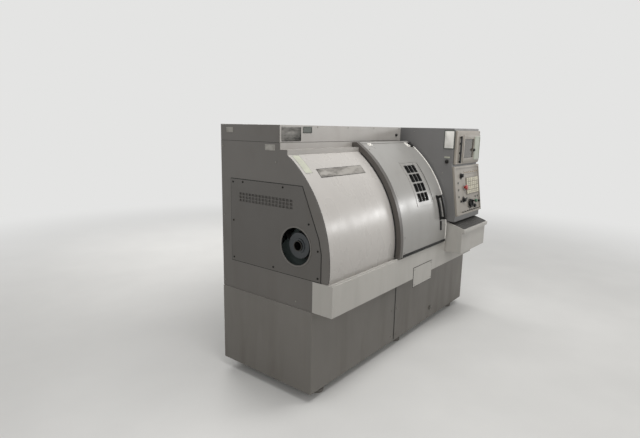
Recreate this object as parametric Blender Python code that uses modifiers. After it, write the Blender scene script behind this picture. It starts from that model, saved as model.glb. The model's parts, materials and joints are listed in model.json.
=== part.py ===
"""CNC turning lathe: slant bed, sliding curved door, side console and rear cabinet.

Everything hangs from one empty, machine_frame. In it X runs along the spindle from
the left end, Y runs back from the foremost line of the curved front, Z is the height
over the floor. The empty shifts that frame so that the machine stands on the world's
origin. A second empty, slant_frame, lies on the spindle axis and is tipped by the slant
of the bed: its X is the spindle, its Y (s below) runs up the bed, its Z (n) off the bed.
"""
import math

import bmesh
import bpy
from mathutils import Matrix, Vector

# Clearances and cuts
GAP = 0.0003
RUNNING_GAP = 0.0006
OVERRUN = 0.020

# Whole machine
machine_length = 2.330
machine_height = 1.700
enclosure_depth = 0.920
cabinet_depth = 0.330
console_reach = 0.185
arc_segments = 24
round_segments = 40
knob_segments = 20
smooth_angle = math.radians(35)
MERGE = 1e-6
TURNING_MERGE = 1e-5
FACING = 0.5

# Base casting, from the floor up
base_front = 0.119
base_share = 0.35294
base_top = machine_height * base_share
base_bottom = 0.060
base_edge = 0.006
seam_x = 1.010
seam_width = 0.004
seam_depth = 0.003
pan_left = 0.640
pan_right = 1.950
pan_front = 0.150
pan_back = 0.310
pan_floor = 0.300
foot_radius = 0.050
foot_height = 0.022
foot_stem_radius = 0.016
foot_stem_sink = 0.004
foot_inset_x = 0.160
foot_inset_y = 0.085

# Spindle line and slant bed
slant_angle = math.radians(45)
spindle_depth_share = 0.27826
spindle_height_share = 0.57941
spindle_y = enclosure_depth * spindle_depth_share
spindle_z = machine_height * spindle_height_share
bed_drop = 0.260
bed_left = 0.100
bed_right = 2.060
bed_low_s = -0.160
bed_high_s = 0.420
bed_back_inset = 0.040
bed_back = enclosure_depth - bed_back_inset
channel_s = 0.090
channel_width = 0.080
channel_depth = 0.070
way_left = 0.600
way_height = 0.030
way_width = 0.060
front_way_s = -0.100
back_way_s = 0.300
way_edge = 0.003

# Headstock, spindle and drive
headstock_left = 0.170
headstock_right = 0.585
headstock_half_width = 0.150
headstock_top_n = 0.140
headstock_edge = 0.012
fin_count = 6
fin_pitch = 0.052
fin_width = 0.016
fin_depth = 0.030
spindle_radius = 0.060
spindle_rear_radius = 0.045
spindle_bore = 0.0335
spindle_rear_x = 0.030
nose_radius = 0.085
nose_length = 0.034
cylinder_radius = 0.080
cylinder_left = 0.036
cylinder_right = 0.088
pulley_left = 0.100
pulley_width = 0.050
spindle_pulley_radius = 0.090
motor_pulley_radius = 0.060
groove_count = 4
groove_depth = 0.006
groove_half_share = 0.33
belt_thickness = 0.006
belt_inset = 0.004
motor_back_inset = 0.255
motor_rise = 0.345
motor_y = enclosure_depth - motor_back_inset
motor_z = spindle_z + motor_rise
motor_size = 0.220
motor_left = 0.175
motor_length = 0.310
motor_shaft_radius = 0.019
motor_edge = 0.014
motor_foot_s = 0.250
motor_foot_left = 0.190
motor_foot_right = 0.460
motor_foot_inset = 0.050
motor_foot_back = enclosure_depth - motor_foot_inset

# Chuck
chuck_radius = 0.105
chuck_length = 0.090
chuck_bore = 0.036
chuck_edge = 0.006
jaw_count = 3
jaw_width = 0.026
jaw_seat = 0.028
jaw_stand = 0.046
jaw_inner = 0.048
jaw_outer = 0.098
jaw_step = 0.020
jaw_clear = 0.001
jaw_slope_share = 0.5
draw_tube_radius = 0.0329
draw_tube_bore = 0.0275
draw_tube_right = 0.640
draw_tube_left = 0.022

# Saddle, cross slide and turret, at the rest place
saddle_left = 1.100
saddle_length = 0.240
saddle_low_s = -0.150
saddle_high_s = 0.360
saddle_thickness = 0.070
nut_inset_share = 0.25
nut_radius = 0.030
screw_radius = 0.016
z_screw_depth = 0.035
z_screw_left = 0.612
z_screw_right = 2.062
servo_size = 0.100
servo_length = 0.150
servo_edge = 0.008
nut_sink = 0.010
slide_left = 1.205
slide_length = 0.130
slide_low_s = 0.120
slide_high_s = 0.350
slide_thickness = 0.060
slide_edge = 0.005
x_screw_radius = 0.012
x_screw_depth = 0.026
x_channel_width = 0.052
x_channel_depth = 0.050
x_nut_radius = 0.020
x_nut_length = 0.060
turret_s = 0.245
turret_body_radius = 0.085
turret_disc_radius = 0.125
turret_disc_length = 0.090
turret_sides = 12
turret_pocket_width = 0.026
turret_pocket_depth = 0.020
tool_width = 0.025
tool_height = 0.024
tool_reach = 0.046
tool_length = 0.070
bar_radius = 0.012
bar_length = 0.055
bar_seat_radius = 0.022
bar_circle = 0.080
bar_station = math.radians(30)

# Telescopic way covers
cover_length = 0.250
cover_thickness = 0.0025
cover_rise = 0.004
cover_low_s = -0.155
cover_high_s = 0.355

# Sheet-metal enclosure
sheet = 0.003
panel_left = 0.006
cap_height = 0.104
header_height = 0.041
header_thickness = 0.031
header_right = 1.451
ledge_height = 0.029
ledge_reach = 0.0584
ledge_front = 0.3306
header_seam = machine_height - cap_height
header_lip = header_seam - header_height
header_front = ledge_front + ledge_reach
header_back = header_front + header_thickness
ledge_bottom = header_lip - ledge_height
curve_height_share = 0.52353
curve_height = machine_height * curve_height_share
curve_rise = ledge_bottom - curve_height
curve_radius = (curve_rise ** 2 + ledge_front ** 2) / (2 * ledge_front)
shell_thickness = 0.004
shell_right = 0.780
shell_drop = 0.189
shell_bottom = spindle_z - shell_drop
wall_inset = 0.030
wall_clear = 0.006
wall_top = ledge_bottom - wall_clear
nose_hole_radius = 0.090
belt_cover_back_inset = 0.095
belt_cover_rise = 0.365
belt_cover_slant_rise = 0.071
belt_cover_front_drop = 0.015
belt_cover_sill = 0.004
belt_cover_top_back_y = enclosure_depth - belt_cover_back_inset
belt_cover_top_front_y = 0.209
belt_cover_top_z = spindle_z + belt_cover_rise
belt_cover_slant_y = 0.082
belt_cover_slant_z = spindle_z + belt_cover_slant_rise
belt_cover_front_y = 0.062
belt_cover_front_z = spindle_z - belt_cover_front_drop
belt_cover_bottom_z = shell_bottom + belt_cover_sill
belt_cover_lap = 0.020
spindle_hole_radius = 0.115
vent_front_inset = 0.073
vent_back_inset = 0.077
vent_rise = 0.223
vent_height = 0.064
vent_front_y = belt_cover_top_front_y + vent_front_inset
vent_back_y = belt_cover_top_back_y - vent_back_inset
vent_low_z = spindle_z + vent_rise
vent_high_z = vent_low_z + vent_height
vent_columns = 16
vent_rows = 3
vent_bar = 0.006

# Sliding door
door_left = 0.753
door_right = 1.496
door_lift = 0.012
door_drop = 0.006
door_stand = 0.044
door_flange_stand = 0.010
door_pocket_depth = 0.014
door_bottom = shell_bottom + door_lift
door_top = header_seam - door_drop
door_outer = curve_radius + door_stand
door_skin = 0.008
door_flange_inner = curve_radius + door_flange_stand
door_flange = 0.004
door_pocket_inner = curve_radius - door_pocket_depth
band_width = 0.037
band_stand = 0.002
band_inner = curve_radius + band_stand
door_clear = 0.003
slot_columns = 3
slot_rows = 4
slot_left = 1.088
slot_width = 0.041
slot_pitch = 0.056
slot_height_angle = math.radians(4.1)
slot_pitch_angle = math.radians(5.4)
slot_top_angle = math.radians(39.85)
slot_corner = 0.006
pane_margin = 0.030
pane_margin_angle = math.radians(1.6)
pane_thickness = 0.004
handle_x = 1.378
handle_width = 0.020
handle_low_angle = math.radians(7.6)
handle_high_angle = math.radians(20.4)
handle_depth = 0.048
handle_bar = 0.013
handle_end_angle = math.radians(1.3)
rail_front = -0.021
rail_back = -0.013
rail_height = 0.008
rail_right = 1.500
roller_radius = 0.015
roller_left_x = 0.850
roller_right_x = 1.440
axle_radius = 0.004

# Apron below the door
apron_front = -0.030
apron_lift = 0.003
apron_bottom = base_top + apron_lift
apron_right = 2.100
apron_ledge = 0.050
plate_left = 0.994
plate_right = 1.290
plate_drop = 0.112
plate_height = 0.144
plate_top = shell_bottom - plate_drop
plate_bottom = plate_top - plate_height

# Console at the right
console_left = 1.520
console_width = 0.520
console_rise = 0.164
console_floor = shell_bottom + console_rise
console_face_y = -0.045
display_drop = 0.282
display_top_inset = 0.018
display_bottom = machine_height - display_drop
display_top = machine_height - display_top_inset
panel_top_gap = 0.015
panel_lift = 0.050
panel_top_z = display_bottom - panel_top_gap
panel_low_z = console_floor + panel_lift
panel_top_y = -0.065
panel_low_y = -0.120
panel_thickness = 0.020
panel_rim = 0.018
panel_recess = 0.006
panel_edge = 0.004
housing_shelf_reach = 0.289
housing_back_reach = 0.439
housing_back_rise = 0.125
housing_shelf_y = spindle_y + housing_shelf_reach
housing_step_front = 0.454
housing_step_lap = 0.020
housing_back_z = spindle_z + housing_back_rise
housing_back_y = spindle_y + housing_back_reach
housing_edge = 0.004
pedestal_left = 1.5303
pedestal_front = -0.165
pedestal_drop = 0.086
pedestal_back_reach = 0.084
pedestal_bottom = shell_bottom - pedestal_drop
pedestal_back = spindle_y + pedestal_back_reach
tray_thickness = 0.028
tray_back_y = -0.020
tray_drop = 0.051
tray_front_z = console_floor - tray_drop
display_left_inset = 0.020
display_recess = 0.008
screen_left_inset = 0.150
screen_width = 0.190
screen_low_inset = 0.047
screen_high_inset = 0.067
screen_low = display_bottom + screen_low_inset
screen_high = display_top - screen_high_inset
screen_thickness = 0.005
end_cover_right = 2.280
end_cover_rise = 0.105
end_cover_top = spindle_z + end_cover_rise

# Controls on the sloping operator panel: places are shares of its width and height
keypad_left_share = 0.44
keypad_right_share = 0.93
keypad_low_share = 0.40
keypad_high_share = 0.74
keypad_thickness = 0.004
key_sink = 0.002
key_columns = 6
key_rows = 4
key_height = 0.003
key_gap = 0.005
estop_share = (0.37, 0.55)
estop_head = 0.020
estop_stem = 0.009
estop_height = 0.028
estop_under = 0.014
estop_dome = 0.003
estop_seat = 0.006
estop_travel = 0.005
feed_knob_share = (0.25, 0.80)
mode_knob_share = (0.30, 0.30)
knob_radius = 0.020
knob_height = 0.024
knob_skirt_share = 0.33
knob_neck_share = 0.75
knob_top_share = 0.67
wheel_share = (0.55, 0.20)
wheel_radius = 0.034
wheel_height = 0.022
wheel_hub_share = 0.5
wheel_rim_share = 0.75
wheel_dish_share = 0.67
crank_place_share = 0.6
crank_radius = 0.006
crank_height = 0.022
button_share = (0.80, 0.22)
button_radius = 0.013
button_height = 0.014
button_stem = 0.006
button_travel = 0.003

# Small pieces on the side of the console
notice_back = 0.035
notice_front = -0.055
notice_height = 0.148
notice_top_inset = 0.014
notice_high = machine_height - notice_top_inset
notice_low = notice_high - notice_height
side_knob_y = 0.000
side_knob_drop = 0.260
side_knob_z = machine_height - side_knob_drop
side_knob_radius = 0.013
side_knob_height = 0.018

# Cabinet at the back
cabinet_left = 0.750
cabinet_right = 2.150
cabinet_bottom = 0.250
cabinet_top_drop = 0.100
cabinet_top = machine_height - cabinet_top_drop
cabinet_sheet = 0.004
cabinet_door_thickness = 0.018
cabinet_handle_reach = 0.014
cabinet_handle_length = 0.120
cabinet_handle_width = 0.024
cabinet_handle_inset = 0.060
cabinet_handle_z = 0.950
switch_inset = 0.150
switch_drop = 0.300
switch_y = enclosure_depth + switch_inset
switch_z = cabinet_top - switch_drop
switch_radius = 0.032
switch_height = 0.030

# Colours as the photo shows them, roughness and metallic value
finishes = {
    "light_paint": ("#B4B0AA", 0.45, 0.0),
    "apron_paint": ("#A5A29C", 0.50, 0.0),
    "door_paint": ("#A3A4A8", 0.40, 0.2),
    "dark_paint": ("#6E6D6C", 0.50, 0.0),
    "end_paint": ("#6B6864", 0.55, 0.0),
    "base_paint": ("#7A7874", 0.60, 0.0),
    "band_paint": ("#57534E", 0.60, 0.0),
    "casting_paint": ("#6F7A78", 0.60, 0.0),
    "bright_steel": ("#B9BCBF", 0.25, 1.0),
    "dark_steel": ("#5A5C5F", 0.40, 1.0),
    "black_plastic": ("#1B1B1C", 0.50, 0.0),
    "rubber": ("#202020", 0.80, 0.0),
    "window": ("#2C3234", 0.15, 0.0),
    "screen": ("#24292B", 0.20, 0.0),
    "cream": ("#D8CFA8", 0.60, 0.0),
    "red": ("#B52A24", 0.40, 0.0),
    "green": ("#2E7A48", 0.40, 0.0),
    "paper": ("#D7DAD6", 0.80, 0.0),
}


def linear(code):
    """An sRGB hex colour as linear values."""
    shares = [int(code[i:i + 2], 16) / 255 for i in (1, 3, 5)]
    return [c / 12.92 if c <= 0.04045 else ((c + 0.055) / 1.055) ** 2.4 for c in shares]


def make_materials():
    """One Principled material for each finish."""
    made = {}
    for name, (code, roughness, metallic) in finishes.items():
        material = bpy.data.materials.new(name)
        material.use_nodes = True
        shader = material.node_tree.nodes["Principled BSDF"]
        shader.inputs["Base Color"].default_value = (*linear(code), 1)
        shader.inputs["Roughness"].default_value = roughness
        shader.inputs["Metallic"].default_value = metallic
        made[name] = material
    return made


def clear_scene():
    """Start from an empty scene."""
    for item in list(bpy.data.objects):
        bpy.data.objects.remove(item, do_unlink=True)


def new_collection(name):
    """A collection in the scene."""
    group = bpy.data.collections.new(name)
    bpy.context.scene.collection.children.link(group)
    return group


def add_empty(name, at, tilt=0.0, parent=None):
    """An empty that carries pieces; tilt turns it about X."""
    empty = bpy.data.objects.new(name, None)
    parts.objects.link(empty)
    empty.parent = parent
    empty.location = at
    empty.rotation_euler = (tilt, 0, 0)
    return empty


def add_object(name, mesh, finish, parent, at=(0, 0, 0), turn=(0, 0, 0), smooth=False):
    """A mesh as a named piece. Its points are measured from its own origin."""
    piece = bpy.data.objects.new(name, mesh)
    parts.objects.link(piece)
    piece.parent = parent
    piece.location = at
    piece.rotation_euler = turn
    mesh.materials.clear()
    mesh.materials.append(materials[finish])
    if smooth:
        mesh.shade_smooth()
        mesh.set_sharp_from_angle(angle=smooth_angle)
    return piece


def as_cutter(piece):
    """Take a piece out of the model and keep it as a cutting shape."""
    parts.objects.unlink(piece)
    cutters.objects.link(piece)
    piece.hide_render = True
    piece.display_type = "WIRE"
    return piece


def join_shape(piece, other, operation):
    """Cut or join a piece with another shape."""
    modifier = piece.modifiers.new(operation.lower() + "_" + other.name, "BOOLEAN")
    modifier.operation = operation
    modifier.object = as_cutter(other)
    return piece


def cut(piece, other):
    """Cut the other shape out of the piece."""
    return join_shape(piece, other, "DIFFERENCE")


def fuse(piece, other):
    """Make the other shape one solid with the piece."""
    return join_shape(piece, other, "UNION")


def round_edges(piece, width, segments=2):
    """Round every sharp edge of a piece."""
    modifier = piece.modifiers.new("rounded_edges", "BEVEL")
    modifier.width = width
    modifier.segments = segments
    modifier.limit_method = "ANGLE"
    return piece


def box_mesh(name, low, high, origin):
    """A box between two corners, measured from an origin."""
    mesh = bpy.data.meshes.new(name)
    shape = bmesh.new()
    size = Vector(high) - Vector(low)
    middle = (Vector(high) + Vector(low)) / 2 - Vector(origin)
    scaled = Matrix.Translation(middle) @ Matrix.Diagonal((*size, 1))
    bmesh.ops.create_cube(shape, size=1, matrix=scaled)
    shape.to_mesh(mesh)
    shape.free()
    return mesh


def add_box(name, low, high, finish, parent, edge=0.0, origin=None):
    """A box from its low corner to its high corner in its parent's frame."""
    if origin is None:
        origin = (Vector(low) + Vector(high)) / 2
    piece = add_object(name, box_mesh(name, low, high, origin), finish, parent, origin)
    if edge:
        round_edges(piece, edge)
    return piece


def outline_mesh(name, loops, thickness):
    """A flat outline, with holes, as a solid of even thickness centred on its plane."""
    curve = bpy.data.curves.new(name, "CURVE")
    curve.dimensions = "2D"
    curve.fill_mode = "BOTH"
    curve.extrude = thickness / 2
    for loop in loops:
        spline = curve.splines.new("POLY")
        spline.points.add(len(loop) - 1)
        for point, (u, v) in zip(spline.points, loop):
            point.co = (u, v, 0, 1)
        spline.use_cyclic_u = True
    holder = bpy.data.objects.new(name + "_outline", curve)
    bpy.context.scene.collection.objects.link(holder)
    graph = bpy.context.evaluated_depsgraph_get()
    mesh = bpy.data.meshes.new_from_object(holder.evaluated_get(graph))
    bpy.data.objects.remove(holder, do_unlink=True)
    shape = bmesh.new()
    shape.from_mesh(mesh)
    bmesh.ops.remove_doubles(shape, verts=shape.verts, dist=MERGE)
    shape.to_mesh(mesh)
    shape.free()
    mesh.name = name
    return mesh


# A turn that lays an outline's U along Y and its V along Z, its thickness along X
ACROSS = (math.pi / 2, 0, math.pi / 2)


def add_section(name, loops, x_low, x_high, finish, parent, smooth=False):
    """A (y, z) section drawn out along X between two places."""
    mesh = outline_mesh(name, loops, x_high - x_low)
    at = ((x_low + x_high) / 2, 0, 0)
    return add_object(name, mesh, finish, parent, at, ACROSS, smooth)


def turned_mesh(name, profile, segments):
    """A solid turned about X from (x, radius) pairs that go round the section once.

    The section lies on the +X side of a Screw axis, runs down its outer side and is
    closed, so the solid has a bore unless the pairs touch the axis.
    """
    mesh = bpy.data.meshes.new(name)
    shape = bmesh.new()
    rings = [shape.verts.new((radius, 0, -x)) for x, radius in profile]
    for first, second in zip(rings, rings[1:]):
        shape.edges.new((first, second))
    if profile[0][1] > 0 or profile[-1][1] > 0:
        shape.edges.new((rings[-1], rings[0]))
    shape.to_mesh(mesh)
    shape.free()
    holder = bpy.data.objects.new(name + "_profile", mesh)
    bpy.context.scene.collection.objects.link(holder)
    screw = holder.modifiers.new("turning", "SCREW")
    screw.axis = "Z"
    screw.steps = segments
    screw.render_steps = segments
    screw.use_merge_vertices = True
    screw.merge_threshold = TURNING_MERGE
    screw.use_normal_calculate = True
    graph = bpy.context.evaluated_depsgraph_get()
    turned = bpy.data.meshes.new_from_object(holder.evaluated_get(graph))
    bpy.data.objects.remove(holder, do_unlink=True)
    turned.transform(Matrix.Rotation(math.pi / 2, 4, "Y") @ Matrix.Rotation(math.pi, 4, "X"))
    shape = bmesh.new()
    shape.from_mesh(turned)
    bmesh.ops.remove_doubles(shape, verts=shape.verts, dist=MERGE)
    bmesh.ops.recalc_face_normals(shape, faces=shape.faces)
    shape.to_mesh(turned)
    shape.free()
    turned.name = name
    return turned


def add_turned(name, profile, finish, parent, at=(0, 0, 0), turn=(0, 0, 0), segments=round_segments):
    """A turned piece whose axis is its own X."""
    return add_object(name, turned_mesh(name, profile, segments), finish, parent, at, turn, True)


def add_rod(name, x_low, x_high, radius, finish, parent, at=(0, 0, 0), turn=(0, 0, 0),
            segments=round_segments):
    """A plain round bar along its own X."""
    profile = [(x_low, 0), (x_low, radius), (x_high, radius), (x_high, 0)]
    return add_turned(name, profile, finish, parent, at, turn, segments)


# A turn that stands a turned piece's own X along its parent's Z
UP = (0, -math.pi / 2, 0)


def slant(s, n):
    """The (y, z) place of a point of the slanted frame."""
    return (spindle_y + s * math.cos(slant_angle) - n * math.sin(slant_angle),
            spindle_z + s * math.sin(slant_angle) + n * math.cos(slant_angle))


def on_curve(radius, angle):
    """The (y, z) place on the curved front at an angle over its centre."""
    return (curve_radius - radius * math.cos(angle), curve_height + radius * math.sin(angle))


def angle_at(radius, height):
    """The angle at which a circle of the curved front reaches a height."""
    return math.asin((height - curve_height) / radius)


def arc(radius, low, high, steps=arc_segments):
    """Points on the curved front between two angles."""
    return [on_curve(radius, low + (high - low) * i / steps) for i in range(steps + 1)]


def arc_between(radius, low_z, high_z, steps=arc_segments):
    """Points on the curved front between two heights."""
    return arc(radius, angle_at(radius, low_z), angle_at(radius, high_z), steps)


def circle(centre, radius, steps=round_segments):
    """A round loop of an outline."""
    turns = [2 * math.pi * i / steps for i in range(steps)]
    return [(centre[0] + radius * math.cos(a), centre[1] + radius * math.sin(a)) for a in turns]


def rectangle(low, high):
    """A rectangular loop of an outline."""
    return [(low[0], low[1]), (high[0], low[1]), (high[0], high[1]), (low[0], high[1])]


def make_base():
    """The welded base with its chip pan, front seam and levelling feet."""
    base = add_box("base_frame", (0, base_front, base_bottom),
                   (machine_length, enclosure_depth, base_top), "base_paint", frame, base_edge)
    cut(base, add_box("pan_cut", (pan_left, pan_front, pan_floor),
                      (pan_right, pan_back, base_top + OVERRUN), "base_paint", frame))
    cut(base, add_box("seam_cut", (seam_x, base_front - OVERRUN, base_bottom - OVERRUN),
                      (seam_x + seam_width, base_front + seam_depth, base_top + OVERRUN),
                      "base_paint", frame))
    stem_top = base_bottom + foot_stem_sink
    profile = [(0, 0), (0, foot_radius), (foot_height, foot_radius), (foot_height, foot_stem_radius),
               (stem_top, foot_stem_radius), (stem_top, 0)]
    for i, x in enumerate((foot_inset_x, machine_length / 2, machine_length - foot_inset_x)):
        for j, y in enumerate((base_front + foot_inset_y, enclosure_depth - foot_inset_y)):
            fuse(base, add_turned(f"foot_{i}_{j}", profile, "dark_steel", frame, (x, y, 0), UP,
                                  knob_segments))


def make_bed():
    """The slanted bed casting, its two hardened ways and the screw channel."""
    low = slant(bed_low_s, -bed_drop)
    high = slant(bed_high_s, -bed_drop)
    floor = base_top + GAP
    section = [(low[0], floor), (bed_back, floor), (bed_back, high[1]), high, low]
    bed = add_section("slant_bed", [section], bed_left, bed_right, "casting_paint", frame)
    half = channel_width / 2
    cut(bed, add_box("channel_cut", (way_left, channel_s - half, -bed_drop - channel_depth),
                     (bed_right + OVERRUN, channel_s + half, -bed_drop + OVERRUN), "dark_steel", tilted))
    for name, s in (("front_way", front_way_s), ("back_way", back_way_s)):
        add_box(name, (way_left, s - way_width / 2, -bed_drop + GAP),
                (bed_right, s + way_width / 2, -bed_drop + way_height), "bright_steel", tilted, way_edge)


def make_headstock():
    """The headstock with cooling fins and the spindle's bore."""
    block = add_box("headstock", (headstock_left, -headstock_half_width, -bed_drop + GAP),
                    (headstock_right, headstock_half_width, headstock_top_n), "casting_paint", tilted,
                    headstock_edge)
    cut(block, add_rod("spindle_bore_cut", headstock_left - OVERRUN, headstock_right + OVERRUN,
                       spindle_radius + GAP, "dark_steel", tilted))
    first = (headstock_left + headstock_right - fin_pitch * (fin_count - 1)) / 2
    side = headstock_half_width + OVERRUN
    for i in range(fin_count):
        middle = first + fin_pitch * i
        cut(block, add_box(f"fin_cut_{i}", (middle - fin_width / 2, -side, headstock_top_n - fin_depth),
                           (middle + fin_width / 2, side, headstock_top_n + OVERRUN),
                           "dark_steel", tilted))


def make_spindle():
    """The hollow spindle with its nose flange, rear cylinder and draw tube."""
    nose = headstock_right + GAP
    outer = [(spindle_rear_x, spindle_bore), (spindle_rear_x, spindle_rear_radius),
             (cylinder_left, spindle_rear_radius), (cylinder_left, cylinder_radius),
             (cylinder_right, cylinder_radius), (cylinder_right, spindle_rear_radius),
             (headstock_left, spindle_rear_radius), (headstock_left, spindle_radius),
             (nose, spindle_radius), (nose, nose_radius), (nose + nose_length, nose_radius),
             (nose + nose_length, spindle_bore)]
    add_turned("spindle", outer, "bright_steel", tilted)
    tube = [(draw_tube_left, draw_tube_bore), (draw_tube_left, draw_tube_radius),
            (draw_tube_right, draw_tube_radius), (draw_tube_right, draw_tube_bore)]
    add_turned("draw_tube", tube, "dark_steel", tilted)


def pulley_profile(bore, radius):
    """A grooved pulley's section, from the left face to the right one."""
    profile = [(0, bore), (0, radius)]
    pitch = pulley_width / (groove_count + 1)
    half = pitch * groove_half_share
    for i in range(groove_count):
        middle = pitch * (i + 1)
        profile += [(middle - half, radius), (middle, radius - groove_depth), (middle + half, radius)]
    return profile + [(pulley_width, radius), (pulley_width, bore)]


def make_drive():
    """Spindle motor on its foot, both pulleys and the belt between them."""
    add_turned("spindle_pulley", pulley_profile(spindle_rear_radius + GAP, spindle_pulley_radius),
               "dark_steel", tilted, (pulley_left, 0, 0))
    half = motor_size / 2
    motor = add_box("spindle_motor", (motor_left, motor_y - half, motor_z - half),
                    (motor_left + motor_length, motor_y + half, motor_z + half),
                    "dark_paint", frame, motor_edge)
    low = slant(motor_foot_s, -bed_drop + GAP)
    high = slant(bed_high_s, -bed_drop + GAP)
    rise = motor_z - half + motor_edge
    foot = [low, (high[0], high[1]), (motor_foot_back, high[1]), (motor_foot_back, rise), (low[0], rise)]
    fuse(motor, add_section("motor_foot", [foot], motor_foot_left, motor_foot_right, "dark_paint", frame))
    cut(motor, add_rod("shaft_seat_cut", -OVERRUN, motor_edge + GAP, motor_shaft_radius + GAP,
                       "bright_steel", frame, (motor_left, motor_y, motor_z)))
    shaft_end = motor_left + motor_edge - pulley_left
    pulley = pulley_profile(motor_shaft_radius, motor_pulley_radius)
    pulley = [(0, 0)] + pulley[1:] + [(shaft_end, motor_shaft_radius), (shaft_end, 0)]
    add_turned("motor_pulley", pulley, "dark_steel", frame, (pulley_left, motor_y, motor_z))
    make_belt()


def belt_loop(extra):
    """The belt's line round both pulleys, at a distance outside their rims."""
    near = spindle_pulley_radius + extra
    far = motor_pulley_radius + extra
    along = Vector((motor_y - spindle_y, motor_z - spindle_z))
    heading = math.atan2(along.y, along.x)
    lean = math.acos((near - far) / along.length)
    points = []
    for centre, radius, start, sweep in (
            ((spindle_y, spindle_z), near, heading + lean, 2 * math.pi - 2 * lean),
            ((motor_y, motor_z), far, heading - lean, 2 * lean)):
        for i in range(arc_segments + 1):
            angle = start + sweep * i / arc_segments
            points.append((centre[0] + radius * math.cos(angle), centre[1] + radius * math.sin(angle)))
    return points


def make_belt():
    """The flat drive belt."""
    add_section("drive_belt", [belt_loop(GAP + belt_thickness), belt_loop(GAP)],
                pulley_left + belt_inset, pulley_left + pulley_width - belt_inset, "rubber", frame, True)


def make_chuck():
    """The three-jaw power chuck."""
    back = headstock_right + GAP + nose_length + GAP
    face = back + chuck_length
    profile = [(back, chuck_bore), (back, chuck_radius - chuck_edge), (back + chuck_edge, chuck_radius),
               (face - chuck_edge, chuck_radius), (face, chuck_radius - chuck_edge), (face, chuck_bore)]
    body = add_turned("chuck_body", profile, "bright_steel", tilted)
    for i in range(jaw_count):
        turn = (2 * math.pi * i / jaw_count, 0, 0)
        half = jaw_width / 2 + jaw_clear
        slot = box_mesh("slot", (face - jaw_seat - jaw_clear, -half, chuck_bore / 2),
                        (face + OVERRUN, half, chuck_radius + OVERRUN), (0, 0, 0))
        cut(body, add_object(f"jaw_slot_{i}", slot, "dark_steel", tilted, (0, 0, 0), turn))
        make_jaw(i, face, turn)


def make_jaw(i, face, turn):
    """One hardened jaw: its foot in the chuck's slot and two steps at the work side."""
    half = jaw_width / 2
    top = face + jaw_stand
    steps = [(face - jaw_seat, jaw_inner), (top - jaw_step, jaw_inner),
             (top - jaw_step, jaw_inner + jaw_step), (top, jaw_inner + jaw_step),
             (top, jaw_outer - jaw_step * jaw_slope_share), (face + jaw_step, jaw_outer),
             (face - jaw_seat, jaw_outer)]
    mesh = outline_mesh(f"chuck_jaw_{i + 1}", [steps], 2 * half)
    mesh.transform(Matrix.Rotation(math.pi / 2, 4, "X"))
    add_object(f"chuck_jaw_{i + 1}", mesh, "dark_steel", tilted, (0, 0, 0), turn)


def make_saddle():
    """The saddle on the ways, its screw nut, the Z screw and its servo."""
    top = -bed_drop + way_height + GAP + saddle_thickness
    foot = top - saddle_thickness
    right = saddle_left + saddle_length
    saddle = add_box("saddle", (saddle_left, saddle_low_s, foot), (right, saddle_high_s, top),
                     "casting_paint", tilted, slide_edge)
    screw_n = -bed_drop - z_screw_depth
    nut_low = saddle_left + saddle_length * nut_inset_share
    nut_high = right - saddle_length * nut_inset_share
    fuse(saddle, add_box("nut_block", (nut_low, channel_s - nut_radius, screw_n - nut_radius),
                         (nut_high, channel_s + nut_radius, foot + nut_sink), "dark_steel", tilted))
    cut(saddle, add_rod("nut_bore_cut", nut_low - OVERRUN, nut_high + OVERRUN, screw_radius + GAP,
                        "dark_steel", tilted, (0, channel_s, screw_n)))
    middle = slide_left + slide_length / 2
    half = x_channel_width / 2
    cut(saddle, add_box("x_channel_cut", (middle - half, saddle_low_s - OVERRUN, top - x_channel_depth),
                        (middle + half, saddle_high_s + OVERRUN, top + OVERRUN), "dark_steel", tilted))
    add_rod("z_ball_screw", z_screw_left, z_screw_right, screw_radius, "bright_steel", tilted,
            (0, channel_s, screw_n), segments=knob_segments)
    motor = servo_size / 2
    servo_left = bed_right + GAP
    servo = add_box("z_servo_motor", (servo_left, channel_s - motor, screw_n - motor),
                    (servo_left + servo_length, channel_s + motor, screw_n + motor),
                    "black_plastic", tilted, servo_edge)
    cut(servo, add_rod("z_coupling_cut", servo_left - OVERRUN, z_screw_right + GAP, screw_radius + GAP,
                       "dark_steel", tilted, (0, channel_s, screw_n)))
    return top


def make_cross_slide(saddle_top):
    """The cross slide, its nut and screw, and the servo at the upper end of the saddle."""
    low = saddle_top + GAP
    top = low + slide_thickness
    slide = add_box("cross_slide", (slide_left, slide_low_s, low),
                    (slide_left + slide_length, slide_high_s, top), "casting_paint", tilted, slide_edge)
    middle = slide_left + slide_length / 2
    screw_n = saddle_top - x_screw_depth
    nut_low = slide_low_s + x_nut_length
    nut = x_nut_radius
    fuse(slide, add_box("x_nut_block", (middle - nut, nut_low, screw_n - nut),
                        (middle + nut, nut_low + x_nut_length, low + nut_sink), "dark_steel", tilted))
    along = (0, 0, math.pi / 2)
    cut(slide, add_rod("x_nut_bore_cut", nut_low - OVERRUN, nut_low + x_nut_length + OVERRUN,
                       x_screw_radius + GAP, "dark_steel", tilted, (middle, 0, screw_n), along))
    end = saddle_high_s + GAP
    add_rod("x_ball_screw", saddle_low_s + slide_edge, end + slide_edge, x_screw_radius, "bright_steel",
            tilted, (middle, 0, screw_n), along, knob_segments)
    motor = servo_size / 2
    servo = add_box("x_servo_motor", (middle - motor, end, screw_n - motor),
                    (middle + motor, end + servo_length, screw_n + motor),
                    "black_plastic", tilted, servo_edge)
    cut(servo, add_rod("x_coupling_cut", end - OVERRUN, end + slide_edge + GAP, x_screw_radius + GAP,
                       "dark_steel", tilted, (middle, 0, screw_n), along))
    return top


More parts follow.
